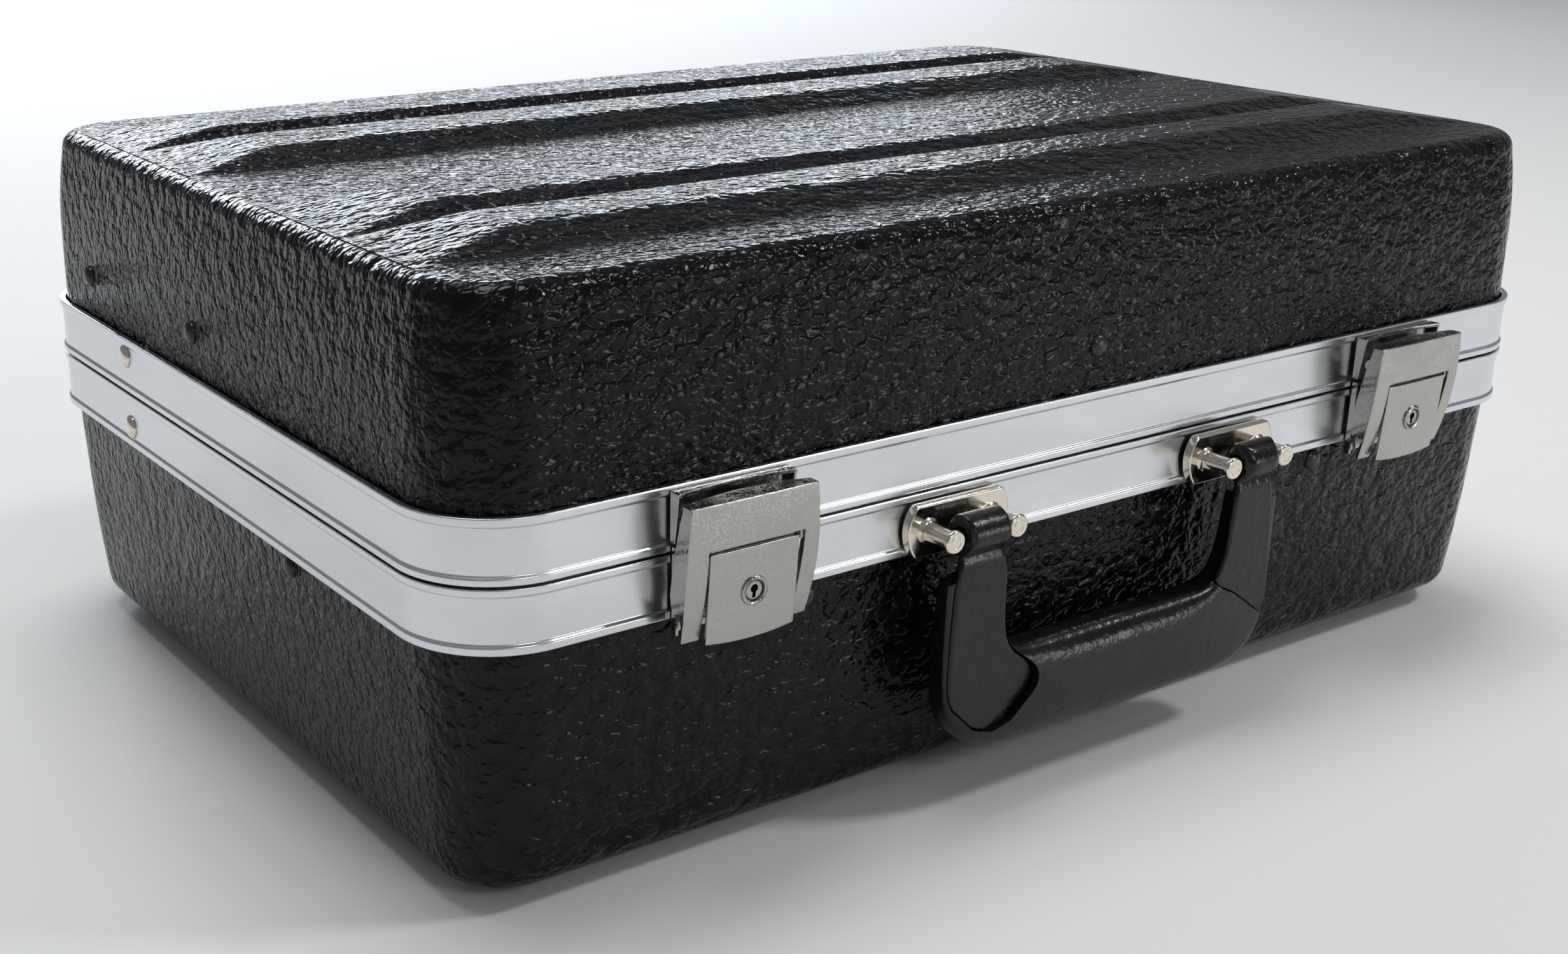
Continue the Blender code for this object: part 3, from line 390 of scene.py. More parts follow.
def eased(points, radius, steps=3):
    """A closed polyline with each corner rounded."""
    made = []
    for index, point in enumerate(points):
        here = Vector(point)
        before = Vector(points[index - 1]) - here
        after = Vector(points[(index + 1) % len(points)]) - here
        reach = min(radius, 0.45 * before.length, 0.45 * after.length)
        first = here + before.normalized() * reach
        last = here + after.normalized() * reach
        for step in range(steps + 1):
            t = step / steps
            made.append(tuple(first * (1 - t) ** 2 + here * 2 * t * (1 - t) + last * t * t))
    return made


def plan(inset):
    """The case's outline from above, moved in by inset."""
    half_x, half_y = HALF_X - inset, HALF_Y - inset
    radius = max(CORNER_R - inset, 3.0)
    points = []
    for sign_x, sign_y, start in ((1, 1, 0), (-1, 1, 90), (-1, -1, 180), (1, -1, 270)):
        centre = (sign_x * (half_x - radius), sign_y * (half_y - radius))
        points += arc(centre, radius, start, start + 90, 16)
    return points


def band(size, low_ring, high_ring):
    """The faces between two rings of size points each, given by their places in the list."""
    faces = []
    for index in range(size):
        after = (index + 1) % size
        faces.append((low_ring * size + index, low_ring * size + after,
                      high_ring * size + after, high_ring * size + index))
    return faces


def grid(rows, columns):
    """The faces of a sheet of points, listed row by row."""
    faces = []
    for row in range(rows - 1):
        for column in range(columns - 1):
            first = row * columns + column
            faces.append((first, first + 1, first + columns + 1, first + columns))
    return faces


def rings(name, sections, closed=False, cap=False):
    """A skin through (inset, height) sections of the plan outline."""
    verts, faces = [], []
    for inset, height in sections:
        verts += [around(x, y, height) for x, y in plan(inset)]
    size = len(verts) // len(sections)
    for level in range(len(sections) - 1):
        faces += band(size, level, level + 1)
    if closed:
        faces += band(size, len(sections) - 1, 0)
    if cap:
        faces.append(tuple((len(sections) - 1) * size + index for index in range(size)))
    return make(name, verts, faces)


def loft(name, sections):
    """Closed rings of equal size in order, with both ends capped."""
    size = len(sections[0])
    verts = [point for ring in sections for point in ring]
    faces = []
    for level in range(len(sections) - 1):
        faces += band(size, level, level + 1)
    faces.append(tuple(range(size)))
    faces.append(tuple(range(len(verts) - size, len(verts))))
    return make(name, verts, faces)


def extruded(name, near, far):
    """A solid between two outlines whose points match one by one."""
    size = len(near)
    faces = [tuple(range(size)), tuple(range(2 * size - 1, size - 1, -1))]
    faces += band(size, 0, 1)
    return make(name, near + far, faces)


def plate(name, outline, near, far):
    """A piece with an outline of (x, height), between two distances out."""
    return extruded(name, [spot(x, near, z) for x, z in outline],
                    [spot(x, far, z) for x, z in outline])


def prism(name, outline, bottom, top):
    """A piece with an outline of (x, out), between two heights."""
    return extruded(name, [spot(x, out, bottom) for x, out in outline],
                    [spot(x, out, top) for x, out in outline])


def slab(name, outline, xs):
    """A piece with an outline of (out, height), between two x in either order."""
    near_x, far_x = sorted(xs)
    return extruded(name, [spot(near_x, out, z) for out, z in outline],
                    [spot(far_x, out, z) for out, z in outline])


def brick(name, xs, outs, heights):
    """A block, each size given by its two limits."""
    outline = [(xs[0], outs[0]), (xs[1], outs[0]), (xs[1], outs[1]), (xs[0], outs[1])]
    return prism(name, outline, heights[0], heights[1])


def turned(name, profile, origin, direction, steps=32):
    """A round piece of (radius, height) pairs along direction, from an origin in metres."""
    turn = Vector((0.0, 0.0, 1.0)).rotation_difference(Vector(direction)).to_matrix()
    verts, faces, starts = [], [], []
    for radius, height in profile:
        starts.append(len(verts))
        count = 1 if radius == 0.0 else steps
        for index in range(count):
            angle = 2.0 * math.pi * index / steps
            point = Vector((radius * math.cos(angle), radius * math.sin(angle), height)) * MM
            verts.append(Vector(origin) + turn @ point)
    for level in range(len(profile) - 1):
        a, b = starts[level], starts[level + 1]
        a_point, b_point = profile[level][0] == 0.0, profile[level + 1][0] == 0.0
        for index in range(steps):
            after = (index + 1) % steps
            if a_point:
                faces.append((a, b + index, b + after))
            elif b_point:
                faces.append((a + index, b, a + after))
            else:
                faces.append((a + index, b + index, b + after, a + after))
    return make(name, verts, faces)


def rod(name, radius, half_length, centre, chamfer=0.3):
    """A round bar along x; chamfer is how long its chamfered ends are."""
    tip = radius - 0.3
    straight = half_length - chamfer
    profile = [(0.0, half_length), (tip, half_length), (radius, straight),
               (radius, -straight), (tip, -half_length), (0.0, -half_length)]
    return turned(name, profile, centre, RIGHTWARD, 24)


# ---------------------------------------------------------------- shells
RIBS = ((-122.0, -107.0, -86.0, -79.0), (-79.0, -66.0, -42.0, -28.0))
RIB_H = 5.0
RIB_RUN = 34.0  # length of the slope at a rib's end
RIB_END = {BASE: 210.0, LID: 218.0}
PANEL_LIFT, PANEL_SINK = 0.03, 1.0  # a rib panel's skin and underside from the flat
WALL_STEPS = 9
CROWN_FROM = 4  # the step of a wall at which its extra lean begins


def soft_min(first, second, width):
    """The smaller of two values, with a rounded change from one to the other."""
    blend = max(width - abs(first - second), 0.0) / width
    return min(first, second) - blend * blend * width / 4.0


def rib_height(x, y, end):
    """Height of the ribs over the flat, y from the case's middle; end is half their length."""
    highest = 0.0
    across = -abs(y)
    for foot, crest, crest_end, rear in RIBS:
        front_slope = (across - foot) / (crest - foot)
        rear_slope = (rear - across) / (rear - crest_end)
        rise = soft_min(front_slope, rear_slope, 0.16)
        rise = soft_min(rise, (end - abs(x)) / RIB_RUN, 0.16)
        rise = soft_min(rise, 1.0, 0.14)
        highest = -soft_min(-highest, -rise, 0.12)
    return RIB_H * highest


def rib_panel(level, side_name, side):
    """The raised skin of one rib pair, closed underneath inside the shell's wall."""
    end = RIB_END[level]
    flat = level * DEPTH[level]
    # Columns close together over the sloping ends and wide apart between them.
    xs = [-end - 0.4 + 3.0 * k for k in range(15)]
    xs += [-170.0 + 20.0 * k for k in range(18)] + [-x for x in reversed(xs)]
    ys = [-125.0 + k for k in range(101)]
    verts = []
    for y in ys:
        for x in xs:
            rise = rib_height(x, y, end) + PANEL_LIFT
            verts.append(around(x, side * y, flat + level * rise))
    rows, columns = len(ys), len(xs)
    faces = grid(rows, columns)
    border = list(range(columns))
    border += [row * columns + columns - 1 for row in range(1, rows)]
    border += [(rows - 1) * columns + column for column in range(columns - 2, -1, -1)]
    border += [row * columns for row in range(rows - 2, 0, -1)]
    start, size = len(verts), len(border)
    for index in border:
        below = verts[index].copy()
        below.z = (SEAM + flat - level * PANEL_SINK) * MM
        verts.append(below)
    for index in range(size):
        after = (index + 1) % size
        faces.append((border[index], border[after], start + after, start + index))
    faces.append(tuple(range(start, start + size)))
    panel = make(f"{BODY[level]}_ribs_{side_name}", verts, faces)
    publish(panel, BODY[level], SHELL, "black_shell", sharp=60.0)


def shell(level):
    """One half's shell: walls that lean in, a fillet and the flat, then its two rib pairs."""
    body, depth, draft, fillet = BODY[level], DEPTH[level], DRAFT[level], FILLET[level]
    wall_end = depth - fillet
    sections = [(SHELL_INSET, level * SHELL_EDGE)]
    for step in range(WALL_STEPS + 1):
        height = FRAME_HIGH + (wall_end - FRAME_HIGH) * step / WALL_STEPS
        lean = max((step - CROWN_FROM) / (WALL_STEPS - CROWN_FROM), 0.0)
        inset = SHELL_INSET + draft * height / depth + CROWN[level] * lean * lean
        sections.append((inset, level * height))
    last_inset = SHELL_INSET + draft * wall_end / depth + CROWN[level]
    for across, along in arc((0.0, 0.0), fillet, 8.0, 90.0, 8):
        sections.append((last_inset + fillet - across, level * (wall_end + along)))
    skin = walled(rings(f"{body}_shell_look", sections, cap=True), WALL)
    publish(skin, body, SHELL, "black_shell", f"{body}_shell")
    rib_panel(level, "front", 1)
    rib_panel(level, "back", -1)


# ---------------------------------------------------------------- edge frames
FRAME_PROFILE = [(0.0, SEAM_GAP), (0.0, 2.5), (0.75, 3.0), (0.75, 16.4), (0.0, 16.9),
                 (0.0, FRAME_HIGH), (2.2, FRAME_HIGH), (2.2, 2.2), (5.8, 2.2), (5.8, 6.5),
                 (6.8, 6.5)]
FRAME_LIP = {BASE: [(6.8, 2.2), (8.8, 2.2), (8.8, -3.0), (7.4, -3.0), (7.4, SEAM_GAP)],
             LID: [(6.8, SEAM_GAP)]}


def edge_frame(level):
    """The aluminium frame of one half, swept round the plan outline."""
    body = BODY[level]
    profile = eased(FRAME_PROFILE + FRAME_LIP[level], 0.45)
    sections = [(inset, level * height) for inset, height in profile]
    skin = rings(f"{body}_frame_look", sections, closed=True)
    publish(skin, body, ALUMINIUM, "aluminium", f"{body}_frame", sharp=50.0)


# ---------------------------------------------------------------- rivets
# Name, direction it points in, place along its wall (y, or x at the front) and height.
SHELL_RIVETS = (
    ("lid_rivet_left_back", LEFTWARD, 105.0, 33.0),
    ("lid_rivet_left_front", LEFTWARD, 14.0, 33.0),
    ("lid_rivet_right_back", RIGHTWARD, 105.0, 33.0),
    ("lid_rivet_right_front", RIGHTWARD, 14.0, 33.0),
    ("lid_rivet_front", FORWARD, 0.0, 33.0),
    ("base_rivet_left", LEFTWARD, -50.0, -25.0),
    ("base_rivet_right", RIGHTWARD, -50.0, -25.0),
    ("base_rivet_front_left", FORWARD, -112.0, -25.0),
    ("base_rivet_front_right", FORWARD, 112.0, -25.0),
)
SHELL_RIVET_SHANK = [(3.6, -0.2), (1.5, -0.2), (1.5, -3.6), (2.4, -3.6), (2.4, -4.4),
                     (0.0, -4.6)]
STAY_RIVET_Y, STAY_RIVET_HEIGHT = 70.0, 12.5
STAY_RIVET_SINK = 0.7
STAY_HEAD = 1.6
HINGE_LEAF = 2.0
HINGE_RIVET_SHANK = [(2.8, 0.0), (1.5, 0.0), (1.5, -8.0), (2.4, -8.0), (0.0, -9.0)]


def shell_rivets():
    """The black rivets through the shells' walls."""
    for node, direction, along, height in SHELL_RIVETS:
        level = LID if height > 0 else BASE
        inset = SHELL_INSET + DRAFT[level] * abs(height) / DEPTH[level]
        if direction is FORWARD:
            origin = spot(along, -inset, height)
        else:
            origin = around(direction[0] * (HALF_X - inset), along, height)
        profile = dome(3.6, 1.9) + SHELL_RIVET_SHANK
        rivet = turned(node + "_look", profile, origin, direction)
        publish(rivet, BODY[level], BLACK_RIVET, "black_rivet", node)


def metal_rivets():
    """The rivets of the lid stays at the frames' sides and of the hinges at their back."""
    for side, hand in SIDES:
        for level in (BASE, LID):
            body = BODY[level]
            node = f"stay_{side}_{body}_rivet"
            low_corner, high_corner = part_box(node)
            reach = (high_corner.x - low_corner.x) / MM - STAY_HEAD
            shank_end = STAY_HEAD - reach
            profile = dome(4.1, 1.7) + [(4.1, 0.1), (2.5, 0.1), (2.5, shank_end), (0.0, shank_end)]
            origin = around(hand * (HALF_X - STAY_RIVET_SINK), STAY_RIVET_Y,
                            level * STAY_RIVET_HEIGHT)
            stud = turned(node + "_look", profile, origin, (hand, 0.0, 0.0))
            publish(stud, body, NICKEL, "nickel", node)
            for end_name in ("inner", "outer"):
                node = f"hinge_{side}_{body}_rivet_{end_name}"
                low_corner, high_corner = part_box(node)
                middle = (low_corner + high_corner) / 2.0
                origin = Vector((middle.x, (BACK + HINGE_LEAF) * MM, middle.z))
                profile = dome(2.8, 1.3) + HINGE_RIVET_SHANK
                rivet = turned(node + "_look", profile, origin, REARWARD, 24)
                publish(rivet, body, NICKEL, "nickel", node)


# ---------------------------------------------------------------- handle
HANDLE_X = 60.0
AXLE_HEIGHT = -11.0
AXLE_OUT = 12.3
POST_SPREAD = 12.5
POST_PROFILE = [(0.0, 15.9), (1.7, 15.9), (1.8, 15.8), (2.0, 15.8), (2.1, 15.9), (3.2, 16.0),
                (3.6, 15.7), (3.75, 15.2), (3.6, 14.7), (3.0, 14.3), (2.9, 10.0), (3.0, 5.2),
                (3.4, 4.2), (4.2, 3.5), (0.0, 3.4)]
BARREL_R = 6.5
BORE_R = 3.1
ARM_BACK, ARM_FRONT = 12.1, 15.0
ARM_TOP = -4.52
BARREL_END = -17.4  # height below which an arm's back is flat
POCKET_TOP = -15.0
POCKET_OUTS = (11.8, 30.0)
POCKET_GAP = 0.35  # round an arm in its pocket
GRIP_RING = 40
GRIP_SMOOTHINGS = 2

# Edges of the arms as (height, x outwards from the middle of the axle), heights falling:
# the left arm's, then the right arm's, which ends in a mitre.
ARM_OUTER = [(-4.5, 7.5), (-12.0, 7.6), (-17.0, 7.9), (-21.0, 8.8), (-26.0, 9.9),
             (-39.0, 10.8), (-50.0, 11.2), (-58.0, 11.3), (-62.0, 10.8), (-66.0, 9.4),
             (-70.0, 6.8), (-73.0, 3.4), (-75.2, -1.0), (-76.2, -4.6)]
ARM_INNER = [(-4.5, -7.5), (-12.0, -7.6), (-18.0, -8.0), (-21.0, -9.2), (-26.0, -10.5),
             (-40.0, -10.9), (-46.0, -11.8), (-50.0, -13.4), (-53.0, -16.2), (-56.5, -20.8),
             (-60.0, -23.4), (-63.4, -23.4), (-67.0, -21.4), (-70.0, -18.8), (-73.0, -15.2),
             (-75.2, -10.6), (-76.2, -7.0)]
MITRE_OUTER = [(-4.5, 7.5), (-12.0, 7.6), (-18.0, 7.9), (-24.0, 9.2), (-32.0, 10.2),
               (-44.0, 10.8), (-56.0, 11.6), (-62.0, 11.2), (-66.0, 9.8)]
MITRE_INNER = [(-4.5, -7.5), (-12.0, -7.6), (-18.0, -7.9), (-24.0, -9.0), (-32.0, -9.8),
               (-40.0, -10.6), (-46.0, -12.6), (-50.0, -14.4), (-52.6, -12.0), (-55.0, -7.0),
               (-59.0, -1.0), (-63.0, 4.4), (-66.0, 8.8)]

# Cross-sections of the grip from its left end to its middle: outer and inner edge as
# (x, height), back and front as distances out, and how round the section is.
GRIP_STATIONS = [
    ((-72.5, -25.5), (-52.0, -20.5), 8.6, 14.2, 0.10),
    ((-72.7, -32.0), (-51.6, -30.0), 7.9, 14.2, 0.10),
    ((-72.8, -42.0), (-50.6, -40.0), 7.4, 14.3, 0.14),
    ((-72.9, -53.0), (-49.2, -45.0), 6.8, 14.6, 0.26),
    ((-72.6, -62.0), (-47.2, -48.8), 5.8, 15.2, 0.42),
    ((-70.2, -70.6), (-44.6, -50.8), 4.6, 16.0, 0.60),
    ((-65.0, -77.6), (-41.0, -51.8), 3.2, 16.8, 0.75),
    ((-57.6, -82.2), (-36.0, -52.0), 2.0, 17.4, 0.88),
    ((-47.6, -84.0), (-30.0, -52.0), 1.2, 17.8, 0.96),
    ((-34.0, -84.0), (-22.0, -52.0), 1.0, 18.0, 1.0),
    ((-16.0, -84.0), (-11.0, -52.0), 1.0, 18.0, 1.0),
    ((0.0, -84.0), (0.0, -52.0), 1.0, 18.0, 1.0),
]


def handle_bracket(side, hand):
    """The nickel plate behind one end of the handle, with its two posts."""
    x = hand * HANDLE_X
    half_length, half_height, bulge = 20.0, 8.2, 3.2
    radius = (half_height ** 2 + bulge ** 2) / (2.0 * bulge)
    spread = math.degrees(math.asin(half_height / radius))
    right = arc((half_length - radius, 0.0), radius, -spread, spread, 14)
    outline = [(x + u, AXLE_HEIGHT + z) for u, z in right + [(-u, -z) for u, z in right]]
    node = f"handle_bracket_{side}"
    bracket = softened(plate(node + "_look", outline, 0.3, 3.6), 0.55, 3)
    publish(bracket, "base", NICKEL, "nickel", node)
    for where, end in SIDES:
        node = f"handle_post_{side}_{where}"
        foot = spot(x + end * POST_SPREAD, 0.0, AXLE_HEIGHT)
        publish(turned(node + "_look", POST_PROFILE, foot, FORWARD, 36), "base", NICKEL,
                "nickel", node)


def between(table, at):
    """Smooth interpolation in a list of (position, value) pairs with falling positions."""
    slopes = []
    for index in range(len(table)):
        first, last = table[max(index - 1, 0)], table[min(index + 1, len(table) - 1)]
        slopes.append((last[1] - first[1]) / (last[0] - first[0]))
    for index in range(len(table) - 1):
        (start, first), (end, last) = table[index], table[index + 1]
        if start >= at >= end:
            span = end - start
            t = (at - start) / span
            curve = (2 * t ** 3 - 3 * t ** 2 + 1) * first + (3 * t ** 2 - 2 * t ** 3) * last
            lean = ((t ** 3 - 2 * t ** 2 + t) * slopes[index]
                    + (t ** 3 - t ** 2) * slopes[index + 1])
            return curve + span * lean
    return table[-1][1]


def arm_edges(height, hand, grow=0.0):
    """Inner and outer edge of a handle arm at a height, moved apart by grow."""
    inner, outer = (ARM_INNER, ARM_OUTER) if hand < 0 else (MITRE_INNER, MITRE_OUTER)
    return between(inner, height) - grow, between(outer, height) + grow


def arm_heights(hand):
    """The heights of a handle arm's sections, close together at its round ends."""
    top_turn = [1.0 - math.cos(math.pi / 2 * k / 7) for k in range(8)]
    heights = [ARM_TOP - 6.48 * turn for turn in top_turn]
    heights += [-12.5 - 1.25 * k for k in range(44)]
    end = ARM_OUTER[-1][0] if hand < 0 else MITRE_OUTER[-1][0]
    heights = [height for height in heights if height > end + 3.0]
    return heights + [end + 3.0 * (1.0 - k / 6.0) ** 2 for k in range(1, 7)]


def arm_depth(height):
    """Back and front of a handle arm at a height: a round barrel that runs into a plate."""
    round_out = math.sqrt(max(BARREL_R ** 2 - (height - AXLE_HEIGHT) ** 2, 0.02))
    t = min(max((-height - 12.0) / 9.0, 0.0), 1.0)
    t = t * t * (3 - 2 * t)
    front = (AXLE_OUT + round_out) * (1 - t) + ARM_FRONT * t
    back = AXLE_OUT - round_out if height > BARREL_END else ARM_BACK
    return min(back, ARM_BACK), front


def handle_arm(side, hand):
    """One arm of the handle, with a bore from each side for its axle."""
    node = f"handle_arm_{side}"
    widest_corner = 1.6 if hand < 0 else 4.0
    sections = []
    for height in arm_heights(hand):
        inner, outer = arm_edges(height, hand)
        back, front = arm_depth(height)
        corner = min(widest_corner, 0.45 * (front - back), 0.3 * (outer - inner))
        outline = [(inner, back), (outer, back), (outer, front), (inner, front)]
        sections.append([spot(hand * (HANDLE_X + u), out, height)
                         for u, out in eased(outline, corner, 5)])
    arm = loft(node + "_look", sections)
    axle = spot(hand * HANDLE_X, AXLE_OUT, AXLE_HEIGHT)
    for outer_end, inner_end in ((12.0, 3.6), (-3.6, -12.0)):
        cut(arm, turned("bore", drum(BORE_R, outer_end, inner_end), axle, RIGHTWARD, 20))
    publish(arm, "handle", GRIP, "handle_plastic", node, sharp=42.0)


def station_ring(station):
    """The points round one cross-section of the grip."""
    outer, inner, back, front, roundness = station
    middle = (Vector(outer) + Vector(inner)) / 2.0
    reach = (Vector(outer) - Vector(inner)) / 2.0
    depth_middle, depth_half = (front + back) / 2.0, (front - back) / 2.0
    power = 2.0 / (9.0 - 6.3 * roundness)
    ring = []
    for index in range(GRIP_RING):
        angle = 2.0 * math.pi * index / GRIP_RING
        across = math.copysign(abs(math.cos(angle)) ** power, math.cos(angle))
        deep = math.copysign(abs(math.sin(angle)) ** power, math.sin(angle))
        point = middle + reach * across
        ring.append(spot(point.x, depth_middle + depth_half * deep, point.y))
    return ring


def halfway(first, second):
    """The station half-way between two others."""
    if isinstance(first, tuple):
        return tuple(halfway(a, b) for a, b in zip(first, second))
    return first + (second - first) * 0.5


def handle_grip():
    """The grip, with a pocket at each end that an arm lies in."""
    stations = list(GRIP_STATIONS)
    stations += [((-outer[0], outer[1]), (-inner[0], inner[1]), back, front, roundness)
                 for outer, inner, back, front, roundness in reversed(stations[:-1])]
    fine = []
    for first, second in zip(stations, stations[1:]):
        fine += [first, halfway(first, second)]
    fine.append(stations[-1])
    sections = [station_ring(station) for station in fine]
    for _ in range(GRIP_SMOOTHINGS):
        smooth = [sections[0]]
        for before, here, after in zip(sections, sections[1:], sections[2:]):
            smooth.append([(a + b * 2.0 + c) / 4.0 for a, b, c in zip(before, here, after)])
        smooth.append(sections[-1])
        sections = smooth
    grip = loft("handle_grip_look", sections)
    for hand in (-1, 1):
        heights = [height for height in arm_heights(hand) if height < POCKET_TOP]
        edges = [arm_edges(height, hand, POCKET_GAP) for height in heights]
        inner = [(hand * (HANDLE_X + edge[0]), z) for edge, z in zip(edges, heights)]
        outer = [(hand * (HANDLE_X + edge[1]), z) for edge, z in zip(edges, heights)]
        tip = ((inner[-1][0] + outer[-1][0]) / 2.0, heights[-1] - POCKET_GAP)
        cut(grip, plate("pocket", inner + [tip] + outer[::-1], *POCKET_OUTS))
    publish(grip, "handle", GRIP, "handle_plastic", "handle_grip", sharp=42.0)


# ---------------------------------------------------------------- latches
LATCH_X = 143.0
LOCK_HEIGHT = -11.0
COVER_HEIGHTS = [16.6, 14.0, 11.0, 7.0, 3.3, 0.0, -3.5, -7.0, -10.5, -13.5, -16.0, -18.5,
                 -21.0, -23.8]
COVER_SHARES = (-1.0, -0.87, -0.735, -0.5, -0.25, 0.0, 0.25, 0.5, 0.735, 0.87, 1.0)
CHEEK_END = -16.5  # lowest height of the cover's sides
WINDOW_TOP = 3.3
WINDOW_SHARE = 0.735
FLAP_HINGE = 2.6
FLAP_TOP = 2.3
FLAP_SLOPE, FLAP_CURVE = 0.04, 0.0011
FLAP_HALF = 15.1
FLAP_BOTTOM = -25.6
PLATE_OUTS = (0.35, 1.5)


def cover_out(height):
    """How far out the cover's face is, on its middle line."""
    return 13.2 - 0.0042 * (height - 10.0) ** 2


def cover_back(height):
    """How far out the cover's sides begin, clear of the plates and the flap behind it."""
    return max(8.6 - 0.185 * (16.5 - height), 2.8 + 0.32 * max(-10.0 - height, 0.0))


def flap_out(height):
    """How far out the flap's face is, on its middle line."""
    drop = FLAP_HINGE - height
    return 12.9 - FLAP_SLOPE * drop - FLAP_CURVE * drop ** 2


def bowed_half(height):
    """Half of the cover's width; its sides are bowed outwards."""
    return 21.3 + 1.1 * (1.0 - ((height + 3.0) / 21.0) ** 2)


def window_edge(share, height):
    """Where the cover's window ends, from the latch's middle; its right edge leans."""
    if share < 0:
        return -15.5
    return 17.2 - 1.4 * min(max((WINDOW_TOP - height) / 27.1, 0.0), 1.0)


def latch_cover(side, hand):
    """The large bowed cover of a latch with the window for its flap, and its pin."""
    x0 = hand * LATCH_X
    heights, shares = COVER_HEIGHTS, COVER_SHARES
    verts, faces = [], []

    def add(u, out, height):
        verts.append(spot(x0 + u, out, height))
        return len(verts) - 1

    rows, backs = [], []
    for height in heights:
        half = bowed_half(height)
        row = []
        for share in shares:
            u = window_edge(share, height) if abs(share) == WINDOW_SHARE else share * half
            row.append(add(u, cover_out(height) - 0.5 * share ** 2, height))
        rows.append(row)
        back = cover_back(height)
        backs.append((add(-half, back, height), add(half, back, height)))
    for upper in range(len(heights) - 1):
        here, below = rows[upper], rows[upper + 1]
        for column in range(len(shares) - 1):
            window = heights[upper] <= WINDOW_TOP and 2 <= column < len(shares) - 3
            if not window:
                faces.append((here[column], here[column + 1], below[column + 1], below[column]))
        if heights[upper + 1] > CHEEK_END:
            for end, edge in ((0, 0), (1, -1)):
                faces.append((backs[upper][end], here[edge], below[edge], backs[upper + 1][end]))
    top = heights[0]
    roof = [backs[0][0]]
    for share in shares[1:-1]:
        roof.append(add(share * bowed_half(top), 8.6 - 3.1 * (1.0 - share ** 2), top))
    roof.append(backs[0][1])
    for column in range(len(shares) - 1):
        faces.append((rows[0][column], rows[0][column + 1], roof[column + 1], roof[column]))
    node = f"latch_{side}_cover"
    cover = make(node + "_pan", verts, faces)
    facing_forward(cover, min(cover.data.polygons, key=lambda face: face.center.y))
    softened(walled(cover, 1.25), 0.38, 3)
    pieces = [cover, rod("bar", 2.2, 20.0, spot(x0, 6.8, 9.5), 0.4)]
    for end in (-1, 1):
        lug, stem = x0 + end * 16.3, x0 + end * 11.0
        pieces.append(softened(brick("lug", (lug - 0.5, lug + 0.5), (8.0, 11.9), (0.6, 4.8)), 0.3))
        pieces.append(brick("stem", (stem - 1.0, stem + 1.0), (6.8, 12.2), (7.6, 11.4)))
    publish(joined(node + "_look", pieces), f"{side}_latch_cover", CHROME, "latch_chrome", node)
    low_corner, high_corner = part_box(f"latch_{side}_cover_pin")
    radius = (high_corner.z - low_corner.z) / 2.0 / MM
    pin = rod(f"latch_{side}_cover_pin_look", radius, 18.3, (low_corner + high_corner) / 2.0)
    publish(pin, "base", STEEL, "steel", f"latch_{side}_cover_pin")


def latch_flap(side, hand):
    """The curved flap in the cover's window, and the lock plug in it."""
    x0 = hand * LATCH_X
    node = f"latch_{side}_flap"
    rows, columns = 15, 13
    verts = []
    for row in range(rows):
        t = row / (rows - 1)
        for column in range(columns):
            u = -FLAP_HALF + 2.0 * FLAP_HALF * column / (columns - 1)
            bottom = FLAP_BOTTOM + 1.1 * (u / FLAP_HALF) ** 2
            height = FLAP_TOP + (bottom - FLAP_TOP) * t
            verts.append(spot(x0 + u, flap_out(height) - 0.35 * (u / FLAP_HALF) ** 2, height))
    sheet = make("sheet", verts, grid(rows, columns))
    facing_forward(sheet, sheet.data.polygons[0])
    sheet = joined("sheet", [softened(walled(sheet, 1.1), 0.3)])
    lock_out = flap_out(LOCK_HEIGHT)
    # The lock stands square to the flap's curve.
    tilt = math.atan(FLAP_SLOPE + 2.0 * FLAP_CURVE * (FLAP_HINGE - LOCK_HEIGHT))
    normal = Vector((0.0, -math.cos(tilt), -math.sin(tilt)))
    centre = spot(x0, lock_out, LOCK_HEIGHT)
    cut(sheet, turned("hole", drum(3.35, 4.0, -4.0), centre, normal, 40))
    ring_profile = [(3.4, -1.1), (3.2, 0.1), (3.35, 0.55), (3.8, 0.75), (4.25, 0.55), (4.5, 0.0),
                    (4.5, -1.1), (3.4, -1.1)]
    ring = turned("ring", ring_profile, centre, normal, 44)
    knuckle = rod("knuckle", 1.8, 14.3, spot(x0, 9.6, FLAP_HINGE))
    bridge = brick("bridge", (x0 - 14.0, x0 + 14.0), (9.8, 12.2), (0.3, 1.9))
    flap = joined(node + "_look", [sheet, ring, knuckle, bridge])
    publish(flap, f"{side}_latch_flap", CHROME, "latch_chrome", node)

    node = f"latch_{side}_lock_plug"
    plug_profile = [(0.0, 0.1), (2.6, 0.1), (2.95, -0.25), (2.95, -4.4), (0.0, -4.4)]
    plug = turned(node + "_look", plug_profile, centre, normal, 40)
    keyhole_centre = centre + Vector((0.0, 0.0, 0.6 * MM))
    cut(plug, turned("keyhole", drum(1.25, 2.0, -2.6), keyhole_centre, normal, 24))
    slot_outline = [(x0 - 0.5, -10.8), (x0 + 0.5, -10.8), (x0 + 0.62, -13.2), (x0 - 0.62, -13.2)]
    cut(plug, plate("slot", slot_outline, lock_out - 2.4, lock_out + 3.0))
    publish(plug, f"{side}_lock_plug", CHROME, "latch_chrome", node)
    # The inside of the keyhole and slot is coloured near-black: painted shade.
    for face in plug.data.polygons:
        offset = face.center - centre
        if offset.dot(normal) < -0.4 * MM and offset.length < 3.2 * MM:
            face.material_index = 1
    plug.data.materials.append(KEYHOLE_SHADE)


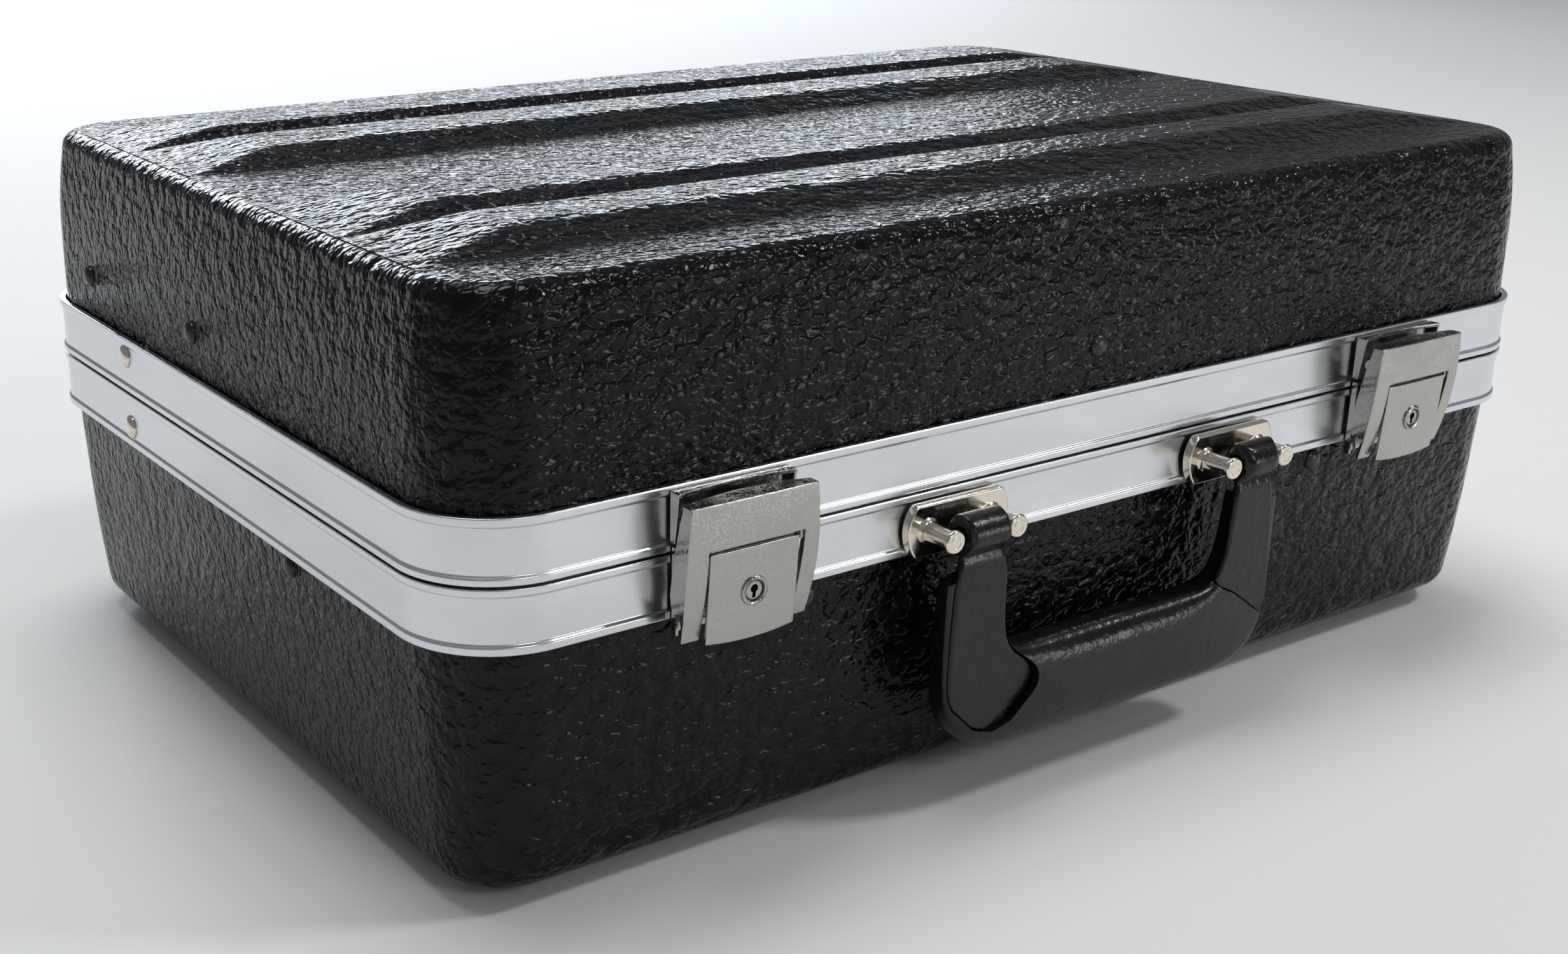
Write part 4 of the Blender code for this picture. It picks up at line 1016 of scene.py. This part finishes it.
def catch_plate(side, hand):
    """The plate on the lid's frame that a latch closes over: a web, two flanges and a roof."""
    x0 = hand * LATCH_X
    parts = [softened(brick("web", (x0 - 19.8, x0 + 19.8), PLATE_OUTS, (3.5, 17.4)), 0.25)]
    for end in (-1, 1):
        outline = [(0.35, 3.6), (2.7, 3.6), (4.6, 17.6), (0.35, 17.6)]
        flange = slab("flange", outline, (x0 + end * 18.8, x0 + end * 20.0))
        parts.append(softened(flange, 0.3, 3))
    bow = [(-20.0 + 40.0 * k / 14, 4.7 - 2.6 * (1.0 - (1.0 - k / 7.0) ** 2)) for k in range(15)]
    roof = [(x0 + 20.0, 0.35), (x0 - 20.0, 0.35)] + [(x0 + u, out) for u, out in bow]
    parts.append(softened(prism("roof", roof, 17.0, 18.3), 0.35, 3))
    node = f"latch_{side}_catch_plate"
    publish(joined(node + "_look", parts), "lid", CHROME, "latch_chrome", node)


def latch_base_plate(side, hand):
    """The plate on the base's frame under a latch, with flanges, tongues and ears."""
    x0 = hand * LATCH_X
    parts = [softened(brick("web", (x0 - 19.2, x0 + 19.2), PLATE_OUTS, (-22.7, 2.2)), 0.25)]
    for end in (-1, 1):
        flange_xs = sorted((x0 + end * 19.4, x0 + end * 18.4))
        parts.append(softened(brick("flange", flange_xs, (0.35, 2.6), (-23.6, 2.2)), 0.25))
        outline = [(0.4, 1.0), (3.0, 1.0), (3.0, -18.0), (3.5, -22.0), (2.9, -22.2), (1.8, -18.0)]
        tongue = slab("tongue", outline, (x0 + end * 17.9, x0 + end * 17.1))
        parts.append(softened(tongue, 0.2))
        ear_xs = sorted((x0 + end * 16.0, x0 + end * 17.2))
        parts.append(softened(brick("ear", ear_xs, (0.8, 7.6), (-13.6, -8.4)), 0.3))
    node = f"latch_{side}_base_plate"
    publish(joined(node + "_look", parts), "base", CHROME, "latch_chrome", node)


# ---------------------------------------------------------------- build
for level in (BASE, LID):
    shell(level)
for level in (BASE, LID):
    edge_frame(level)
shell_rivets()
metal_rivets()
handle_grip()
for side, hand in SIDES:
    handle_bracket(side, hand)
    handle_arm(side, hand)
    latch_cover(side, hand)
    latch_flap(side, hand)
    catch_plate(side, hand)
    latch_base_plate(side, hand)

# CAD pieces that show as they are, in the metals of the pieces beside them.
CARRIED = {"nickel": NICKEL, "steel": STEEL}
for entry in frame["record"]["subparts"]:
    node = frame["nodes"][entry["node"]]
    if entry["material_slot"] in CARRIED and not node.hide_render:
        node.data.materials.clear()
        node.data.materials.append(CARRIED[entry["material_slot"]])

# ---------------------------------------------------------------- stage, light and camera
DAYLIGHT = (0.86, 0.93, 1.0)
WHITE = (1.0, 1.0, 1.0)
FLOOR_SIZE, FLOOR_Z = 14.0, -0.0004

floor_look = Look("floor", (0.82, 0.82, 0.81), 0.75, specular=0.2)
bpy.ops.mesh.primitive_plane_add(size=FLOOR_SIZE, location=(0.0, 0.0, FLOOR_Z))
floor = bpy.context.object
floor.name = "floor"
floor.data.materials.append(floor_look.material)

world = bpy.data.worlds.new("studio")
scene.world = world
world.use_nodes = True
background = world.node_tree.nodes["Background"]
background.inputs["Color"].default_value = (0.93, 0.95, 1.0, 1.0)
background.inputs["Strength"].default_value = 0.22


def soft_light(name, location, target, size, power, colour=WHITE):
    """A rectangular light that looks at target and that the camera does not see."""
    data = bpy.data.lights.new(name, "AREA")
    data.shape = "RECTANGLE"
    data.size, data.size_y = size
    data.energy = power
    data.color = colour
    lamp = added(name, data)
    lamp.location = location
    lamp.rotation_euler = (Vector(target) - Vector(location)).to_track_quat("-Z", "Y").to_euler()
    lamp.visible_camera = False


soft_light("back_window", (0.95, 2.4, 0.66), (0.0, 0.0, 0.14), (2.3, 0.5), 19.0, DAYLIGHT)
soft_light("back_lamp", (0.1, 2.3, 1.05), (0.0, 0.0, 0.14), (0.65, 0.28), 13.0, DAYLIGHT)
soft_light("overhead", (-0.1, 0.3, 2.0), (0.0, 0.0, 0.1), (1.2, 0.8), 18.0)
soft_light("right_lamp", (1.25, -0.95, 1.9), (0.0, -0.1, 0.1), (0.36, 0.3), 13.0)
soft_light("low_lamp", (1.3, -2.1, 0.26), (0.0, -0.1, 0.12), (0.9, 0.34), 6.0)
soft_light("front_fill", (-0.15, -2.1, 1.3), (0.0, 0.0, 0.0), (0.8, 0.3), 6.0)

# The view's size, focal length and principal point, in pixels.
VIEW_W, VIEW_H = 2464.0, 1499.0
FOCAL, CENTRE_U, CENTRE_V = 3179.31, 1046.39, 842.23
SENSOR = 36.0
EYE = (-0.45381, -0.57745, 0.19802)  # from the case's middle at the parting line
turn, lift, roll = (math.radians(angle) for angle in (-34.609, 20.684, 0.311))
toward = Vector((math.sin(turn) * math.cos(lift), -math.cos(turn) * math.cos(lift),
                 math.sin(lift)))
across = (-toward).cross(Vector((0.0, 0.0, 1.0))).normalized()
upward = across.cross(-toward)
right = math.cos(roll) * across + math.sin(roll) * upward
above = -math.sin(roll) * across + math.cos(roll) * upward
camera_data = bpy.data.cameras.new("camera")
camera_data.sensor_width = SENSOR
camera_data.lens = FOCAL / VIEW_W * SENSOR
camera_data.shift_x = (VIEW_W / 2.0 - CENTRE_U) / VIEW_W
camera_data.shift_y = (CENTRE_V - VIEW_H / 2.0) / VIEW_W
camera = added("camera", camera_data)
placed = Matrix((right, above, toward)).transposed().to_4x4()
placed.translation = Vector((EYE[0], EYE[1] + MIDDLE_Y * MM, EYE[2] + SEAM * MM))
camera.matrix_world = placed
scene.camera = camera
scene.view_settings.view_transform = "Standard"
